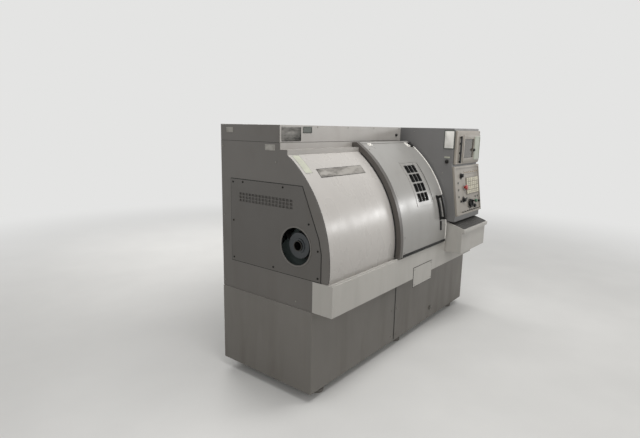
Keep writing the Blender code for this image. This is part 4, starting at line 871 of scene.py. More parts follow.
def fit_strip(name, body, span, rise, arc, edge, look, steps=24, radius=DOOR_RADIUS):
    """A strip bent to the curved front, with rounded edges."""
    dress(round_off(curved_strip(name, span, rise, arc, steps, radius), edge), body, *look)


# Operators: one for each group of pieces


class MixFinishes(bpy.types.Operator):
    """Make the materials that the pieces use"""

    bl_idname = "lathe.mix_finishes"
    bl_label = "Mix finishes"

    def execute(self, context):
        tints = context.scene.lathe_colours
        # The last number sets dust, scuffs and oil runs; the runs darken lower parts partly as
        # painted shade, and on the door partly as a painted reflection of the warm floor
        sprayed_enamel("light_enamel", tints.light, 0.27, 0.10)
        # The header enamel is darker than the light enamel as painted shade, not as another paint
        sprayed_enamel("shaded_header_enamel", tints.header, 0.42, 0.20)
        sprayed_enamel("door_enamel", tints.door, 0.30, 0.26)
        sprayed_enamel("apron_enamel", tints.apron, 0.42, 0.34)
        sprayed_enamel("console_enamel", tints.console, 0.44, 0.20)
        sprayed_enamel("end_enamel", tints.end, 0.42, 0.42)
        sprayed_enamel("cover_enamel", [share * 0.76 for share in tints.end], 0.40, 0.46)
        sprayed_enamel("base_enamel", tints.base, 0.50, 0.38)
        sprayed_enamel("band_enamel", tints.band, 0.38, 0.48)
        sprayed_enamel("panel_enamel", linear("#8C867D"), 0.50, 0.44)
        sprayed_enamel("display_enamel", linear("#938C82"), 0.48, 0.30)
        sprayed_enamel("motor_enamel", linear("#3B3F42"), 0.45, 0.30)
        brushed_cast_enamel("cast_enamel", tints.casting)
        machined_steel("ground_steel", "#B8B6B2", 0.24, (0.04, 1, 1))
        machined_steel("turned_steel", "#A9A7A4", 0.28, (1, 0.05, 0.05))
        machined_steel("blackened_steel", "#4A4947", 0.40, (0.2, 1, 1), 500.0, 0.4)
        machined_steel("drawn_cover_steel", "#8C8A86", 0.42, (0.03, 1, 1), 500.0, 0.35)
        machined_steel("zinc_screw_steel", "#8E8C87", 0.38, (1, 1, 1), 400.0, 0.30)
        machined_steel("black_screw_steel", "#2B2A29", 0.45, (1, 1, 1), 400.0, 0.30)
        rolled_thread_steel("rolled_screw_steel", "#A6A39E", (0, 0, 0), 0.010)
        rolled_thread_steel("cross_screw_steel", "#A6A39E", (0, 0, math.pi / 2), 0.008)
        moulded_plastic("black_moulding", "#111110", 0.52, 0.06, level=0.28)
        moulded_plastic("grey_plastic", "#4B4E49", 0.48, 0.16)
        moulded_plastic("red_plastic", "#8E2620", 0.38, 0.08)
        moulded_plastic("green_plastic", "#2A5A3C", 0.40, 0.10)
        moulded_plastic("pale_plastic", "#E2DFD8", 0.42, 0.08)
        moulded_plastic("amber_lens", "#8F7448", 0.25, 0.06, 0.00005)
        smeared_glass("window_sheet", "#191B1B", "#4A4844", 0.08, 0.22, 0.35)
        smeared_glass("screen_glass", "#4A453E", "#7B756A", 0.14, 0.25)
        smeared_glass("screen_cover", "#969A8B", "#A8AA9C", 0.30, 0.30)
        sleeved_paper("notice_paper", "#D8D6D0")
        sleeved_paper("blank_label", "#B3B4A3", 0.40)
        rubbed_aluminium("plain_aluminium", "#A9A6A0", "#86837D", 0.30, 0.70)
        rubbed_aluminium("badge_aluminium", "#97938D", "#45423E", 0.40, 0.58)
        rubbed_aluminium("dark_plate_aluminium", "#8F8C87", "#33322F", 0.40, 0.66)
        studded_rubber("mat_rubber", "#3A3835")
        dull_rubber("seal_rubber", "#141413")
        dull_rubber("belt_rubber", "#1B1A19")
        low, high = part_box("keypad")
        key_plastic("key_plastic", "#B5AE98", "#6B655B", low.x, low.z,
                    (high.x - low.x) / 6, (high.z - low.z) / 4)
        return {"FINISHED"}


# Each sheet's finish and the rounding of its folds, in metres
SHEETS = {
    "fixed_front_shell": ("light_enamel", 0.0009), "door_header": ("shaded_header_enamel", 0.0016),
    "left_end_cover": ("end_enamel", 0.0008), "belt_cover": ("cover_enamel", 0.0007),
    "rear_cover": ("end_enamel", 0.0008), "right_end_cover": ("base_enamel", 0.004),
    "top_cap": ("end_enamel", 0.003), "door_shell": ("door_enamel", 0.0009),
    "door_edge_band": ("band_enamel", 0.0014), "apron": ("apron_enamel", 0.0016),
    "apron_plate": ("apron_enamel", 0.0008), "base_frame": ("base_enamel", 0.0012),
    # The console pedestal takes the darker apron enamel as painted shade under the console
    "control_housing": ("console_enamel", 0.003), "console_pedestal": ("apron_enamel", 0.003),
    "display_unit": ("display_enamel", 0.0018), "operator_panel": ("panel_enamel", 0.0015),
    "electrical_cabinet": ("end_enamel", 0.004), "cabinet_door": ("end_enamel", 0.003),
    "chamber_wall": ("light_enamel", 0.0007),
}

# Each working part's finish and the rounding of its edges, in metres
WORKS = {
    "slant_bed": ("cast_enamel", 0.004), "headstock": ("cast_enamel", 0.003),
    "saddle": ("cast_enamel", 0.003), "cross_slide": ("cast_enamel", 0.002),
    "turret_housing": ("cast_enamel", 0.002), "spindle_motor": ("motor_enamel", 0.003),
    "front_way": ("ground_steel", 0.0), "back_way": ("ground_steel", 0.0),
    "way_cover_fixed": ("drawn_cover_steel", 0.0008),
    "way_cover_middle": ("drawn_cover_steel", 0.0008),
    "way_cover_moving": ("drawn_cover_steel", 0.0008),
    "spindle": ("turned_steel", 0.0), "chuck_body": ("turned_steel", 0.0012),
    "turret_disc": ("turned_steel", 0.0010), "draw_tube": ("blackened_steel", 0.0),
    "spindle_pulley": ("blackened_steel", 0.0), "motor_pulley": ("blackened_steel", 0.0),
    "chuck_jaw_1": ("blackened_steel", 0.0008), "chuck_jaw_2": ("blackened_steel", 0.0008),
    "chuck_jaw_3": ("blackened_steel", 0.0008), "turning_tool": ("blackened_steel", 0.0006),
    "boring_bar": ("turned_steel", 0.0006), "z_ball_screw": ("rolled_screw_steel", 0.0),
    "x_ball_screw": ("cross_screw_steel", 0.0), "z_servo_motor": ("black_moulding", 0.002),
    "x_servo_motor": ("black_moulding", 0.002), "drive_belt": ("belt_rubber", 0.0),
    "door_roller_left": ("blackened_steel", 0.0006),
    "door_roller_right": ("blackened_steel", 0.0006),
}

# Each control's finish and the rounding of its edges, in metres
CONTROLS = {
    "door_handle": ("black_moulding", 0.0022), "keypad": ("key_plastic", 0.0008),
    "display_screen": ("screen_glass", 0.0006), "emergency_stop": ("red_plastic", 0.0008),
    "cycle_button": ("green_plastic", 0.0006), "feed_knob": ("black_moulding", 0.0008),
    "mode_knob": ("black_moulding", 0.0008), "handwheel": ("black_moulding", 0.0008),
    "side_selector": ("black_moulding", 0.0006), "main_switch": ("black_moulding", 0.0008),
    "notice_holder": ("grey_plastic", 0.0006), "door_window": ("window_sheet", 0.0),
}


class FoldSheets(bpy.types.Operator):
    """Replace the sheet-metal nodes by copies with rounded folds"""

    bl_idname = "lathe.fold_sheets"
    bl_label = "Fold sheets"

    def execute(self, context):
        made = {node: smooth_copy(node, *finish) for node, finish in SHEETS.items()}
        # The cap's front and top are paler than its ends; they take the header enamel, which is
        # darkened as painted shade
        paint_faces(made["top_cap"], "shaded_header_enamel",
                    lambda place, normal: normal.y < -0.3 or normal.z > 0.9)

        def in_slot(place, normal):
            """Passes the walls of the door's slots, which carry a black rubber edge."""
            spoke = Vector((0, place.y - CURVE_RADIUS, place.z - CURVE_HEIGHT))
            angle = math.atan2(spoke.z, -spoke.y)
            return (abs(normal.dot(spoke.normalized())) < 0.6 and 1.07 < place.x < 1.26
                    and math.radians(18) < angle < math.radians(41))

        paint_faces(made["door_shell"], "seal_rubber", in_slot)
        for node in ("fixed_front_shell", "door_shell", "door_edge_band", "left_end_cover"):
            shade_round_curve(made[node])
        return {"FINISHED"}


class FinishWorks(bpy.types.Operator):
    """Replace the castings, shafts and motors by copies with rounded edges"""

    bl_idname = "lathe.finish_works"
    bl_label = "Finish works"

    def execute(self, context):
        made = {node: smooth_copy(node, *finish) for node, finish in WORKS.items()}
        # The clamping cylinder at the spindle's rear end is painted
        paint_faces(made["spindle"], "motor_enamel", lambda place, normal: place.x < 0.14)
        return {"FINISHED"}


class FinishControls(bpy.types.Operator):
    """Replace the handle, knobs, keys and screens by copies with rounded edges"""

    bl_idname = "lathe.finish_controls"
    bl_label = "Finish controls"

    def execute(self, context):
        for node, finish in CONTROLS.items():
            smooth_copy(node, *finish)
        return {"FINISHED"}


class TrimDoor(bpy.types.Operator):
    """Add the door's window frame, seals, painted edge highlight, slot rims, sleeve, brackets and
    bolts
    """

    bl_idname = "lathe.trim_door"
    bl_label = "Trim door"

    def execute(self, context):
        rise = context.scene.lathe_sizes.frame_rise
        surround = curved_strip("window_frame", (1.050, 1.300), (-0.001, rise), (42.4, 17.0))
        opening = curved_strip("window_opening", (1.060, 1.290), (-0.01, 0.01), (41.7, 17.7))
        round_off(carve(surround, opening), 0.0007, 2, 40)
        shade_round_curve(dress(surround, "door", "door_enamel", "door_paint"))
        # A black strip by the window frame's right edge is painted shade, standing for the shadow
        # in the groove there
        fit_strip("window_side_seal_shade", "door", (1.3045, 1.3110), (-0.001, 0.0016), (41.2, 18.6),
                  0.0004, RUBBER)
        # A pale strip down the door's right edge is a painted highlight, for the light that the
        # folded edge catches
        fit_strip("door_edge_highlight_strip", "door", (DOOR_RIGHT - 0.0130, DOOR_RIGHT + 0.0012),
                  (-0.004, 0.0016), (55.5, -4.6), 0.0008, PALE, 40)
        latch = curved_strip("door_latch", (1.3815, 1.3935), (0, 0.009), (6.6, 1.6), 6)
        press(latch, frontwards, 0.002, -0.0015)
        dress(round_off(latch, 0.0010), "door", *BLACK)
        fit_bar("door_sweep", "door", (0.800, -0.0425, 0.8050), (1.488, -0.0395, 0.8085),
                lambda middle, normal: normal.z < -0.9, 0.0007, -0.0005, 0.0004, RUBBER)
        # A wiper runs down the door's leading edge, just off the fixed plate; its black also
        # stands as painted shade for the dark gap between door and plate
        fit_strip("door_wiper_gap_shade", "door", (0.7478, 0.7532), (0.0022, 0.0085), (53.5, -5.6),
                  0.0006, RUBBER, 40, CURVE_RADIUS)
        fit_strip("door_top_lip", "door", (0.800, 1.486), (-0.001, 0.0030), (57.6, 56.9),
                  0.0008, ("door_enamel", "door_paint"), 4)
        # The bottom seal is drawn tall, partly as painted shadow for the gap where the door meets
        # the apron
        fit_strip("door_bottom_seal_shadow", "door", (0.800, 1.488), (-0.001, 0.0026), (-4.55, -5.70),
                  0.0006, RUBBER, 4)
        # Each slot is edged by a rubber rim, set square to the curve like the slot
        rim = plate("slot_rims", 0.049, 0.0668, 0.0026, 0.0095, 0.0006)
        hole = plate("rim_hole", 0.0404, 0.0582, 0.02, 0.006, 0.0001)
        carve(rim, settle(hole, Matrix.Translation((0, 0, -0.01))))
        places = [on_skin(1.1085 + 0.056 * column, 37.8 - 5.4 * row, -0.0012)
                  for column in range(3) for row in range(4)]
        dress(copies_of("slot_rims", rim, places), "door", *RUBBER, 50)
        # A rubber sleeve on the handle's grip, and a black strip on the door under the handle
        sleeve = curved_strip("handle_sleeve", (1.3745, 1.4015), (0.0335, 0.0495), (18.6, 9.4), 16)
        dress(round_off(sleeve, 0.0030, 3), "door", *BLACK)
        fit_strip("handle_under_strip", "door", (1.3735, 1.4025), (-0.001, 0.0030), (20.9, 7.1),
                  0.0010, BLACK, 16)
        # Bright brackets and a black stop block on the door's upper edge, each bent to the curve
        brackets = [round_off(curved_strip("bracket", span, (-0.001, 0.0035), arc, 6), 0.0010)
                    for span, arc in (((0.858, 0.908), (57.0, 55.2)),
                                      ((1.398, 1.440), (56.8, 53.2)))]
        dress(join("door_brackets", brackets), "door", *PALE)
        screws("bracket_screws", "door",
               [on_skin(x, angle, 0.0034)
                for x, angle in ((0.869, 56.1), (0.897, 56.1), (1.419, 55.9), (1.419, 54.1))],
               0.6, "black_screw_steel")
        block = curved_strip("door_stop_block", (1.446, 1.480), (-0.001, 0.0120), (56.2, 52.9), 5)
        press(block, lambda middle, normal: normal.x > 0.9, 0.002, -0.0015)
        dress(round_off(block, 0.0014), "door", *BLACK)
        # The handle's bolts pass through its feet
        screws("handle_bolts", "door", [on_skin(1.388, angle, 0.0480) for angle in (7.6, 20.4)],
               0.7, "black_screw_steel")
        screws("door_screws", "door",
               [on_skin(x, angle) for x in (0.812, 1.474) for angle in (52.5, 4.0, -3.6)], 0.75)
        return {"FINISHED"}


class TrimHeader(bpy.types.Operator):
    """Add the header's stop, blank plates, seals and screws"""

    bl_idname = "lathe.trim_header"
    bl_label = "Trim header"

    def execute(self, context):
        stop = knob_blank("header_stop", 0.0115, 0.010)
        dress(settle(stop, on_front(1.378, HEADER_Y, 1.638)), "machine", *BLACK)
        for name, x, z, width, height, finish in (
                ("cap_plate_wide", 0.108, 1.646, 0.176, 0.084, "dark_plate_aluminium"),
                ("cap_plate_small", 0.259, 1.672, 0.088, 0.038, "grey_plastic")):
            fit_plate(name, "machine", on_front(x, HEADER_Y, z), (width, height, 0.0012), 0.004,
                      -0.0003, (finish, "dark_steel"))
        for name, low, high in (
                ("cap_seal", (0.0100, 0.3884, 1.5950), (1.450, 0.3896, 1.5968)),
                ("ledge_seal", (0.0100, 0.3318, 1.5236), (0.740, 0.3352, 1.5262))):
            fit_bar(name, "machine", low, high, frontwards, 0.0004, -0.0003, 0.0003, RUBBER)
        screws("header_screws", "machine",
               [on_front(x, HEADER_Y, 1.690) for x in (0.360, 0.700, 1.040, 1.420)], 0.8)
        return {"FINISHED"}


class TrimFrontShell(bpy.types.Operator):
    """Add the blank worn badge, the blank label and the edge seal of the fixed curved plate"""

    bl_idname = "lathe.trim_front_shell"
    bl_label = "Trim front shell"

    def execute(self, context):
        sizes = context.scene.lathe_sizes
        badge = curved_strip("blank_badge", (0.155, 0.629), (0, sizes.badge_thickness),
                             (45.05, 40.6), 10, CURVE_RADIUS)
        only(badge)
        bpy.ops.object.mode_set(mode="EDIT")
        bpy.ops.mesh.select_all(action="SELECT")
        bpy.ops.mesh.dissolve_limited(angle_limit=math.radians(0.1))
        bpy.ops.object.mode_set(mode="OBJECT")
        shade_round_curve(dress(round_off(badge, 0.0005), "machine", *BRIGHT))
        rim = curved_strip("badge_rim", (0.152, 0.632), (0, 0.0008), (45.28, 40.37), 10,
                           CURVE_RADIUS)
        shade_round_curve(dress(rim, "machine", *BLACK))
        label = curved_strip("blank_label", (0.040, 0.100), (0, sizes.label_thickness),
                             (54.3, 43.5), 14, CURVE_RADIUS)
        shade_round_curve(dress(round_off(label, 0.0002), "machine", "blank_label", "paper"))
        border = curved_strip("label_border", (0.038, 0.102), (0, 0.0003), (54.45, 43.35), 14,
                              CURVE_RADIUS)
        shade_round_curve(dress(border, "machine", "grey_plastic", "paper"))
        fit_strip("shell_edge_seal", "machine", (0.0093, 0.0125), (-0.0015, 0.0006),
                  (53.5, -6.2), 0.0003, RUBBER, 40, CURVE_RADIUS)
        return {"FINISHED"}


def cover_outline(name, grow, x_low, x_high):
    """A slab with the belt cover's outline, grown or shrunk: a box with its front cut off."""
    slab = box_blank(name, (x_low, 0.062 - grow, 0.800 - grow),
                     (x_high, 0.825 + grow, 1.350 + grow))
    corners = ((0.209, 1.350), (0.082, 1.056), (0.062, 0.970))
    for (y, z), (low_y, low_z) in zip(corners, corners[1:]):
        out = Vector((0, low_z - z, y - low_y)).normalized()
        only(slab)
        bpy.ops.object.mode_set(mode="EDIT")
        bpy.ops.mesh.select_all(action="SELECT")
        bpy.ops.mesh.bisect(plane_co=at(0, y, z) + out * grow, plane_no=out, use_fill=True,
                            clear_outer=True)
        bpy.ops.object.mode_set(mode="OBJECT")
    return slab


class TrimLeftEnd(bpy.types.Operator):
    """Add the belt cover's screws, gasket, vent screen and collar, and the end's plates"""

    bl_idname = "lathe.trim_left_end"
    bl_label = "Trim left end"

    def execute(self, context):
        places = ((0.711, 1.335), (0.361, 1.333), (0.155, 1.135), (0.803, 1.330), (0.803, 1.075),
                  (0.803, 0.822), (0.440, 0.822), (0.082, 0.822), (0.084, 0.985))
        screws("belt_cover_screws", "machine",
               [on_left(BELT_COVER_X, y, z) for y, z in places], 1.0, "black_screw_steel")
        gasket = cover_outline("belt_cover_gasket", 0.0040, 0.0046, 0.0060)
        inner = cover_outline("gasket_hole", -0.0040, 0.0040, 0.0066)
        dress(carve(gasket, inner), "machine", *RUBBER)
        fit_bar("vent_screen", "machine", (0.0094, 0.270, 1.196), (0.0112, 0.760, 1.284),
                leftwards, 0.006, -0.0006, 0.0003, ("cover_enamel", "dark_steel"))
        fit_ring("spindle_collar", "machine", on_left(BELT_COVER_X, *SPINDLE), 0.1155, 0.1255,
                 0.0022, ("end_enamel", "end_paint"), 64)
        for name, y, z, width, height in (("end_plate_upper", 0.834, 1.664, 0.066, 0.032),
                                          ("end_plate_lower", 0.470, 1.565, 0.084, 0.034)):
            fit_plate(name, "machine", on_left(END_X, y, z), (width, height, 0.0010), 0.003,
                      -0.0002, ("plain_aluminium", "bright_steel"))
        # A seam of rubber closes the cap against the end
        fit_bar("cap_end_seal", "machine", (END_X - 0.0005, 0.392, 1.5951),
                (END_X + 0.0008, 0.918, 1.5967), leftwards, 0.0003, -0.0002, 0.0002, RUBBER)
        screws("end_cover_screws", "machine",
               [on_left(END_X, y, z) for y, z in ((0.900, 1.560), (0.900, 1.100), (0.900, 0.640),
                                                  (0.420, 1.480), (0.250, 0.640))], 0.9)
        return {"FINISHED"}


class TrimBase(bpy.types.Operator):
    """Add the apron plate's gasket and screws, the feet's nuts, the drain plug and the seam"""

    bl_idname = "lathe.trim_base"
    bl_label = "Trim base"

    def execute(self, context):
        fit_bar("apron_plate_gasket", "machine", (0.9905, PLATE_Y + 0.0014, 0.5365),
                (1.2935, PLATE_Y + 0.0034, 0.6875), frontwards, 0.0008, -0.0003, 0.0003, RUBBER)
        screws("apron_plate_screws", "machine",
               [on_front(x, PLATE_Y, z) for x in (1.008, 1.276) for z in (0.554, 0.670)], 0.75)
        nut = stepped_blank("nut", 0.027, 0.016, 6, 0.009, 0.0012, 0.0012, 25)
        feet = [Matrix.Translation(at(x, y, 0.0438)) for x in (0.160, 1.165, 2.170)
                for y in (0.204, 0.835)]
        dress(copies_of("foot_nuts", nut, feet), "machine", *ZINC)
        plug = stepped_blank("drain_plug", 0.020, 0.010, 6, 0.006, -0.004, 0.0010, 25)
        dress(settle(plug, on_front(1.640, BASE_FRONT, 0.150)), "machine", *ZINC)
        # The black strip is wider than the seam's groove, partly as painted shade for the dark gap
        # there
        fit_bar("base_seam_seal_shade", "machine", (1.0075, 0.1172, 0.0750), (1.0165, 0.1186, 0.6000),
                frontwards, 0.0020, -0.0006, 0.0004, RUBBER)
        screws("base_screws", "machine",
               [on_front(x, BASE_FRONT, z) for x in (0.975, 1.045)
                for z in (0.110, 0.320, 0.530)], 1.1)
        return {"FINISHED"}


class FitDisplay(bpy.types.Operator):
    """Add the display unit's bezel, grip, side strip and latch"""

    bl_idname = "lathe.fit_display"
    bl_label = "Fit display"

    def execute(self, context):
        bezel = plate("display_bezel", 0.350, 0.222, BEZEL_THICKNESS, 0.008, 0.0010)
        hole = box_blank("bezel_hole", (-0.153, -0.076, -0.02), (0.039, 0.076, 0.02), True)
        carve(bezel, hole)
        round_off(bezel, 0.0008, 2, 50)
        settle(bezel, on_front(1.842, DISPLAY_Y, 1.540))
        dress(bezel, "machine", "panel_enamel", "light_paint", 40)
        fit_plate("display_strip", "machine", on_front(1.952, BEZEL_Y, 1.540),
                  (0.112, 0.186, 0.0030), 0.004, -0.0010, ("screen_cover", "light_paint"),
                  0.004, 0.0006)
        latch = knob_blank("display_latch", 0.013, 0.012)
        dress(settle(latch, on_front(1.8885, BEZEL_Y, 1.526)), "machine", *BLACK)
        grip = box_blank("display_grip", (1.592, DISPLAY_Y - 0.016, 1.428),
                         (1.612, DISPLAY_Y - 0.008, 1.640))
        press(grip, frontwards, 0.004, -0.002)
        round_off(grip, 0.0015)
        posts = [round_off(box_blank("post", (1.596, DISPLAY_Y - 0.010, z),
                                     (1.608, DISPLAY_Y, z + 0.014)), 0.0010)
                 for z in (1.432, 1.500, 1.574, 1.622)]
        dress(join("display_grip", [grip, *posts]), "machine", *BLACK)
        screws("display_screws", "machine",
               [on_front(x, DISPLAY_Y, z) for x in (1.554, 2.006) for z in (1.432, 1.668)], 0.7)
        return {"FINISHED"}


class FitPanel(bpy.types.Operator):
    """Add the sloping panel's plates, rings, lamps, switches, knobs and buttons"""

    bl_idname = "lathe.fit_panel"
    bl_label = "Fit panel"

    def execute(self, context):
        screws("panel_screws", "machine",
               [on_panel(u, v, PANEL_RECESS) for u in (0.017, 0.983) for v in (0.022, 0.978)],
               0.55)
        for name, u, v, width, height in (("key_frame_plate", 0.685, 0.570, 0.276, 0.150),
                                          ("lamp_strip", 0.660, 0.855, 0.300, 0.030),
                                          ("switch_strip", 0.560, 0.055, 0.400, 0.026)):
            fit_plate(name, "machine", on_panel(u, v), (width, height, 0.0012), 0.003, -0.0003,
                      ("panel_enamel", "light_paint"))
        # A ring lies under each of the five moving controls, and the handwheel's is wide
        for name, u, v, inner, outer in (("feed_dial_ring", 0.25, 0.80, 0.0206, 0.030),
                                         ("mode_dial_ring", 0.30, 0.30, 0.0206, 0.030),
                                         ("stop_ring", 0.37, 0.55, 0.0206, 0.030),
                                         ("pulse_dial_ring", 0.55, 0.20, 0.0346, 0.045),
                                         ("start_ring", 0.80, 0.22, 0.0136, 0.019)):
            fit_ring(name, "machine", on_panel(u, v), inner, outer, 0.0016, BRIGHT)
        lamp = stepped_blank("lamp", 0.0042, 0.003, 16, 0.0014, 0.0008, 0.0004)
        lamps = [on_panel(0.42 + 0.08 * i, 0.855, 0.0010) for i in range(7)]
        dress(copies_of("panel_lamps", lamp, lamps), "machine", "amber_lens", "red", 50)
        toggle = stepped_blank("toggle", 0.0055, 0.004, 12, 0.0030, 0.011, 0.0006)
        toggles = [on_panel(0.24 + 0.092 * i, 0.055, 0.0010) for i in range(8)]
        dress(copies_of("panel_toggles", toggle, toggles), "machine", *BLACK, 50)
        knobs = [settle(knob_blank(name, radius, height), on_panel(u, v))
                 for name, radius, height, u, v in (("override_knob", 0.017, 0.017, 0.73, 0.125),
                                                    ("small_knob", 0.011, 0.013, 0.93, 0.20),
                                                    ("key_switch", 0.010, 0.008, 0.20, 0.28))]
        dress(join("panel_knobs", knobs), "machine", *BLACK)
        button = stepped_blank("button", 0.0085, 0.005, 24, 0.0020, -0.0008, 0.0007, 40)
        buttons = [on_panel(u, v) for u, v in ((0.13, 0.66), (0.13, 0.52), (0.13, 0.38),
                                               (0.80, 0.315), (0.90, 0.315), (0.44, 0.315))]
        dress(copies_of("panel_buttons", button, buttons), "machine", "grey_plastic",
              "dark_steel", 50)
        return {"FINISHED"}


class FitConsoleSides(bpy.types.Operator):
    """Add the console's notice sheet, selector plate, louvres, gland plate and screws"""

    bl_idname = "lathe.fit_console_sides"
    bl_label = "Fit console sides"

    def execute(self, context):
        fit_plate("notice_sheet", "machine", on_left(NOTICE_X, -0.010, 1.612),
                  (0.074, 0.132, 0.0005), 0, 0, ("notice_paper", "paper"), 0.002, 0.0001)
        fit_plate("selector_tag", "machine", on_left(HOUSING_LEFT, 0.0, 1.474),
                  (0.044, 0.010, 0.0008), 0.0012, -0.0002, ("blank_label", "paper"), 0.001,
                  0.0002)
        fit_ring("selector_ring", "machine", on_left(HOUSING_LEFT, 0.0, 1.440), 0.0136, 0.0180,
                 0.0015, BRIGHT, 32)
        screws("housing_left_screws", "machine",
               [on_left(HOUSING_LEFT, y, z) for y in (0.030, 0.300) for z in (1.020, 1.350)]
               + [on_left(HOUSING_LEFT, 0.300, 1.670)], 0.85)
        for name, z in (("housing_louvres_upper", 1.440), ("housing_louvres_lower", 1.060)):
            louvre_bank(name, "machine", on_right(HOUSING_RIGHT, 0.560, z), "console_enamel",
                        "dark_paint")
        fit_plate("gland_plate", "machine", on_right(HOUSING_RIGHT, 0.200, 1.060),
                  (0.180, 0.120, 0.0025), 0.006, -0.0006, ("base_enamel", "dark_paint"),
                  0.006, 0.0006)
        gland = knob_blank("gland", 0.016, 0.022)
        glands = [on_right(HOUSING_RIGHT + 0.0019, y, 1.060) for y in (0.155, 0.200, 0.245)]
        dress(copies_of("cable_glands", gland, glands), "machine", *BLACK)
        screws("housing_right_screws", "machine",
               [on_right(HOUSING_RIGHT, y, z) for y in (0.030, 0.420, 0.880)
                for z in (1.000, 1.340, 1.675)])
        screws("housing_back_screws", "machine",
               [on_back(x, HOUSING_BACK, 1.672) for x in (1.480, 1.640, 1.830, 2.015)])
        return {"FINISHED"}


class DressTray(bpy.types.Operator):
    """Lay the rubber mat on the console's tray, and give the pedestal its cover and screws"""

    bl_idname = "lathe.dress_tray"
    bl_label = "Dress tray"

    def execute(self, context):
        slope = math.atan2(0.051, 0.165)
        place = Matrix.Translation(at(1.785, -0.1025, 0.9345)) @ Matrix.Rotation(slope, 4, "X")
        fit_plate("tray_mat", "machine", place,
                  (0.486, 0.150, context.scene.lathe_sizes.mat_thickness), 0.005, -0.0008,
                  ("mat_rubber", "rubber"), 0.010, 0.0008)
        screws("pedestal_screws", "machine",
               [on_left(PEDESTAL_X, y, z) for y in (0.030, 0.300) for z in (0.740, 0.860)], 0.8)
        # The pedestal cover's apron enamel is darker, as painted shade under the console
        fit_plate("pedestal_cover", "machine", on_left(PEDESTAL_X, 0.160, 0.800),
                  (0.200, 0.130, 0.0025), 0.004, -0.0006, ("apron_enamel", "light_paint"),
                  0.004, 0.0006)
        return {"FINISHED"}


class FitWorks(bpy.types.Operator):
    """Add the bolts of the chuck, its jaws and the turret"""

    bl_idname = "lathe.fit_works"
    bl_label = "Fit works"

    def execute(self, context):
        def circle(side, x, centre, radius, count, first=0.0):
            """Places on a circle, on a side that looks left or right."""
            angles = [first + math.tau * i / count for i in range(count)]
            return [side(x, centre[0] + radius * math.cos(a), centre[1] + radius * math.sin(a))
                    for a in angles]

        screws("chuck_bolts", "spindle_line",
               circle(on_right, CHUCK_FACE, SPINDLE, 0.088, 3, math.radians(75)), 1.2,
               "black_screw_steel")
        for i, angle in enumerate((135, 255, 15), 1):
            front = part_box(f"chuck_jaw_{i}")[1].x - ORIGIN.x
            screws(f"jaw_bolt_{i}", f"jaw_{i}",
                   circle(on_right, front - 0.0200, SPINDLE, 0.089, 1, math.radians(angle)),
                   0.85, "black_screw_steel")
        screws("turret_bolts", "turret", circle(on_left, TURRET_FACE, TURRET, 0.055, 6), 1.2,
               "black_screw_steel")
        return {"FINISHED"}


class FitCabinet(bpy.types.Operator):
    """Add the rear cabinet's louvres, blank plate, lock, hinges, seals and screws"""

    bl_idname = "lathe.fit_cabinet"
    bl_label = "Fit cabinet"

    def execute(self, context):
        for name, x, z in (("cabinet_louvres_upper", 1.100, 1.330),
                           ("cabinet_louvres_lower", 1.100, 0.360),
                           ("cabinet_louvres_side", 1.760, 0.360)):
            louvre_bank(name, "rear_door", on_back(x, CABINET_BACK, z), "end_enamel", "end_paint")
        fit_plate("cabinet_plate", "rear_door", on_back(1.760, CABINET_BACK, 1.380),
                  (0.160, 0.100, 0.0012), 0.004, -0.0003, ("plain_aluminium", "bright_steel"))
        fit_ring("door_lock", "rear_door", on_back(2.078, CABINET_BACK, 0.900), 0.004, 0.013,
                 0.006, ZINC, 32)
        pin = stepped_blank("hinge", 0.0055, 0.080, 20, 0.0015, 0.003, 0.0006)
        hinges = [Matrix.Translation(at(0.7580, CABINET_BACK + 0.0048, z))
                  for z in (0.360, 0.885, 1.410)]
        dress(copies_of("cabinet_hinges", pin, hinges), "rear_door", "blackened_steel",
              "dark_steel")
        seals = [box_blank(name, (0.760, 1.2176, low), (2.140, 1.2179, high))
                 for name, low, high in (("seal_low", 0.2500, 0.2560),
                                         ("seal_high", 1.5940, 1.6000))]
        for seal in seals:
            round_off(seal, 0.0001)
        dress(join("cabinet_seals", seals), "machine", *RUBBER)
        screws("cabinet_side_screws", "machine",
               [side(x, y, z) for side, x in ((on_left, CABINET_LEFT), (on_right, CABINET_RIGHT))
                for y in (0.960, 1.180) for z in (0.290, 0.925, 1.560)])
        return {"FINISHED"}


